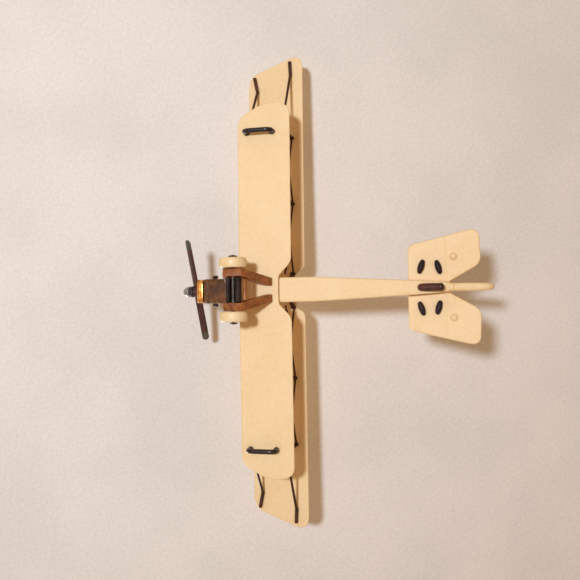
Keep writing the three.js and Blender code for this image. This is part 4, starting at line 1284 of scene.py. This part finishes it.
def vertical_tail():
    low = TAIL_Z + TAIL_THICKNESS + GAP
    post = STERN + GAP
    corners = [(44.6, low), (53.9, low), (53.9, low + 4.7), (52.6, low + 4.8), (49, low + 3.2)]
    fin = rounded(corners, 0.6, 6, closed=True)
    curves = [(10, (64.6, 5.6), (64.4, 8.4)), (10, (64.2, 13.6), (59, 14.6))]
    curves.append((10, (54.6, 15), (post, low + 4.6)))
    rudder = np.array(run((post, belly_at(post) + 0.2), (1, (61, 5)), *curves))
    fin_part = prism(fin, -0.49, 0.49, "x", 0.3, 4)
    ribs_z = np.arange(3.4, 14, 2.3)

    def half(u, v):
        rear = np.clip((64.6 - u) / 6, 0, 1)
        sag = 0.045 * (1 - ridge(v, ribs_z, 0.45)) * band(u, 54.6, 62.8, 0.6)
        hinge = 0.14 * ridge(u, [54.6], 0.3) * (v > 7.2)
        return 0.62 + 0.36 * np.sqrt(rear) - sag - hinge

    u_lines = np.concatenate([np.arange(54.9, 64.3, 0.6), [54.3, 54.45, 54.6, 54.75]])
    v_lines = np.unique(np.add.outer(ribs_z, [-0.5, -0.2, 0, 0.2, 0.5, 1.15]).ravel())
    points, faces = plate(rudder, half, lambda u, v: -half(u, v), 0.45, u_lines, v_lines, 0.35)
    return [fin_part, (points[:, [2, 0, 1]], faces)]


piece("stabilizer_moulding", stabilizer(), CREAM, "cream_paint", ["stabilizer"], smooth=50)
piece("vertical_tail_moulding", vertical_tail(), CREAM, "cream_paint", ["vertical_tail"], smooth=50)

TAIL_STRUTS = {"front": ((4.2, 46.05), (6.4, 46.75)), "rear": ((4.0, 50.95), (6.2, 50.35))}
STUB_RADIUS = 0.78


def tail_stub(inner, outer):
    """A short rod, fullest in the middle, with small round ends."""
    z = TAIL_Z - STUB_RADIUS - GAP
    start, end = np.array((*inner, z)), np.array((*outer, z))
    shares = np.linspace(-0.05, 1.05, 9)
    size = STUB_RADIUS * (0.5 + 0.5 * np.sqrt(np.sin(np.linspace(0.25, pi - 0.25, 9))))
    return tube([start + (end - start) * share for share in shares], size, 24, "round")


for place, ends in TAIL_STRUTS.items():
    pair(f"tail_strut_{place}", "stub", [tail_stub(*ends)], STUB_BLACK, "black_enamel", smooth=60)


def tail_skid():
    """A glossy oval runner on a narrow heel, a little wider than it is deep."""
    front, rear, rear_z, radius, widen = 46.3, 51.2, 1.5, 0.85, 1.18
    front_z = belly_at(front) - radius * 0.35
    start, end = np.array((0, front, front_z)), np.array((0, rear, rear_z))
    line = [start + (end - start) * t for t in np.linspace(0, 1, 9)]
    size = [radius * (0.93 + 0.07 * sin(pi * t)) for t in np.linspace(0, 1, 9)]
    size[0], size[-1] = radius * 0.9, radius
    points, faces = tube(line, size, 28, "round")
    heel = block((-0.55, rear - 1.6, rear_z), (0.55, rear - 0.1, belly_at(rear - 1) - GAP), 0.12)
    points = points * (widen, 1, 1)
    points[:, 2] = np.minimum(points[:, 2], belly_at(points[:, 1]) - GAP)
    return [(points, faces), heel]


piece("tail_skid_runner", tail_skid(), SKID_BROWN, "propeller_brown", ["tail_skid"], smooth=60)

# ---- Stage, lights and camera ----

PALE = srgb(240, 232, 224)


def turned(direction):
    """A direction in the aircraft's frame, in the row frame."""
    return (AIRCRAFT.to_3x3() @ Vector(direction)).normalized()


def one_sided(name):
    """A matt pale cloth that shows only its front."""
    made = bpy.data.materials.new(name)
    tree = fresh(made)
    place = node(tree, "TexCoord").outputs["Object"]
    weave = noise(tree, place, 1100.0, 6.0)
    cloudy = noise(tree, place, 26.0, 4.0)
    tone = blended(tree, ramp(tree, cloudy, 0.35, 0.65), PALE, srgb(232, 225, 217))
    tone = shaded(tree, tone, ramp(tree, weave, 0.3, 0.7, 0.95, 1.03))
    bumps = node(tree, "Bump", Height=weave, Strength=0.3, Distance=0.00008)
    front = node(tree, "BsdfDiffuse", Color=tone, Roughness=0.0, Normal=bumps.outputs[0])
    clear = node(tree, "BsdfTransparent")
    mix = node(tree, "MixShader")
    tree.links.new(node(tree, "NewGeometry").outputs["Backfacing"], mix.inputs[0])
    tree.links.new(front.outputs[0], mix.inputs[1])
    tree.links.new(clear.outputs[0], mix.inputs[2])
    node(tree, "OutputMaterial", Surface=mix.outputs[0])
    return made


def sheet(name, matrix, half):
    """A square of cloth whose front is its own +Z side. It casts no shadow and bounces no light."""
    mesh = bpy.data.meshes.new(name)
    mesh.from_pydata([(x, y, 0) for x, y in oblong(-half, half, -half, half)], [], [(0, 1, 2, 3)])
    mesh.materials.append(CLOTH)
    item = placed(name, mesh)
    item.matrix_world = matrix
    item.visible_shadow = False
    item.visible_diffuse = False


# The model stands upright, so the main camera sees its underside from below. The floor is clear from
# there, and the cloth behind the model, nearly level and a little over the king posts, is clear from above.
CLOTH = one_sided("pale_cloth")
BACKDROP_HEIGHT = 0.038
BACKDROP_FACES = Vector((-0.056, 0.056, -1))
sheet("floor", Matrix.Identity(4), 4.0)
faces_down = BACKDROP_FACES.to_track_quat("Z", "Y").to_matrix().to_4x4()
sheet("backdrop_cloth", Matrix.Translation((0, 0, BACKDROP_HEIGHT)) @ faces_down, 0.2)

COOL = (0.76, 0.87, 1.0)
FILL = (0.425, 0.29, 0.18)  # warm light from all round, as from a lit room
KEY_SHARE = 0.76  # of a white surface's brightness that a key gives
KEY_PLACE = (42, 0, -358)
KEY_RADIUS = 0.018


def lamp(name, kind, power):
    """A light of the keys' colour."""
    light = bpy.data.lights.new(name, kind)
    light.energy = power
    light.color = COOL
    return placed(name, light)


def key_lights():
    """A small lamp below, for the underside, and a sun above with the same strength."""
    middle = AIRCRAFT @ Vector((0, 22, 4))
    place = AIRCRAFT @ Vector(KEY_PLACE)
    below = lamp("key_below", "POINT", 4 * KEY_SHARE * (pi * (place - middle).length) ** 2)
    below.data.shadow_soft_size = KEY_RADIUS
    below.location = place
    below.visible_camera = False
    above = lamp("key_above", "SUN", KEY_SHARE * pi)
    above.data.angle = 0.2
    above.rotation_mode = "QUATERNION"
    above.rotation_quaternion = Vector((0.55, 0.45, -0.75)).to_track_quat("-Z", "Y")


key_lights()

world = bpy.data.worlds.new("studio")
sky = fresh(world)
seen = node(sky, "LightPath").outputs["Is Camera Ray"]
back = node(sky, "Background", Color=blended(sky, seen, (*FILL, 1.0), srgb(228, 217, 208)))
node(sky, "OutputWorld", Surface=back.outputs[0])
bpy.context.scene.world = world
bpy.context.scene.view_settings.view_transform = "Standard"

FOCAL = 680 / 580  # of the camera, in frame widths
SENSOR = 36
EYE = (-3.85, 49.66, -169.73)
TILT = radians(12.0)
ROLL = radians(1.1)


def camera():
    ahead = turned((0.022, -tan(TILT), 1))
    right = turned((0, 1, 0))
    right = (right - ahead * right.dot(ahead)).normalized()
    up = right.cross(ahead)
    level = right
    right = cos(ROLL) * level - sin(ROLL) * up
    up = sin(ROLL) * level + cos(ROLL) * up
    data = bpy.data.cameras.new("camera")
    data.sensor_width = SENSOR
    data.lens = FOCAL * SENSOR
    data.clip_start, data.clip_end = 0.01, 20
    item = placed("camera", data)
    turn = Matrix((right, up, -ahead)).transposed().to_4x4()
    item.matrix_world = Matrix.Translation(AIRCRAFT @ Vector(EYE)) @ turn
    bpy.context.scene.camera = item


camera()
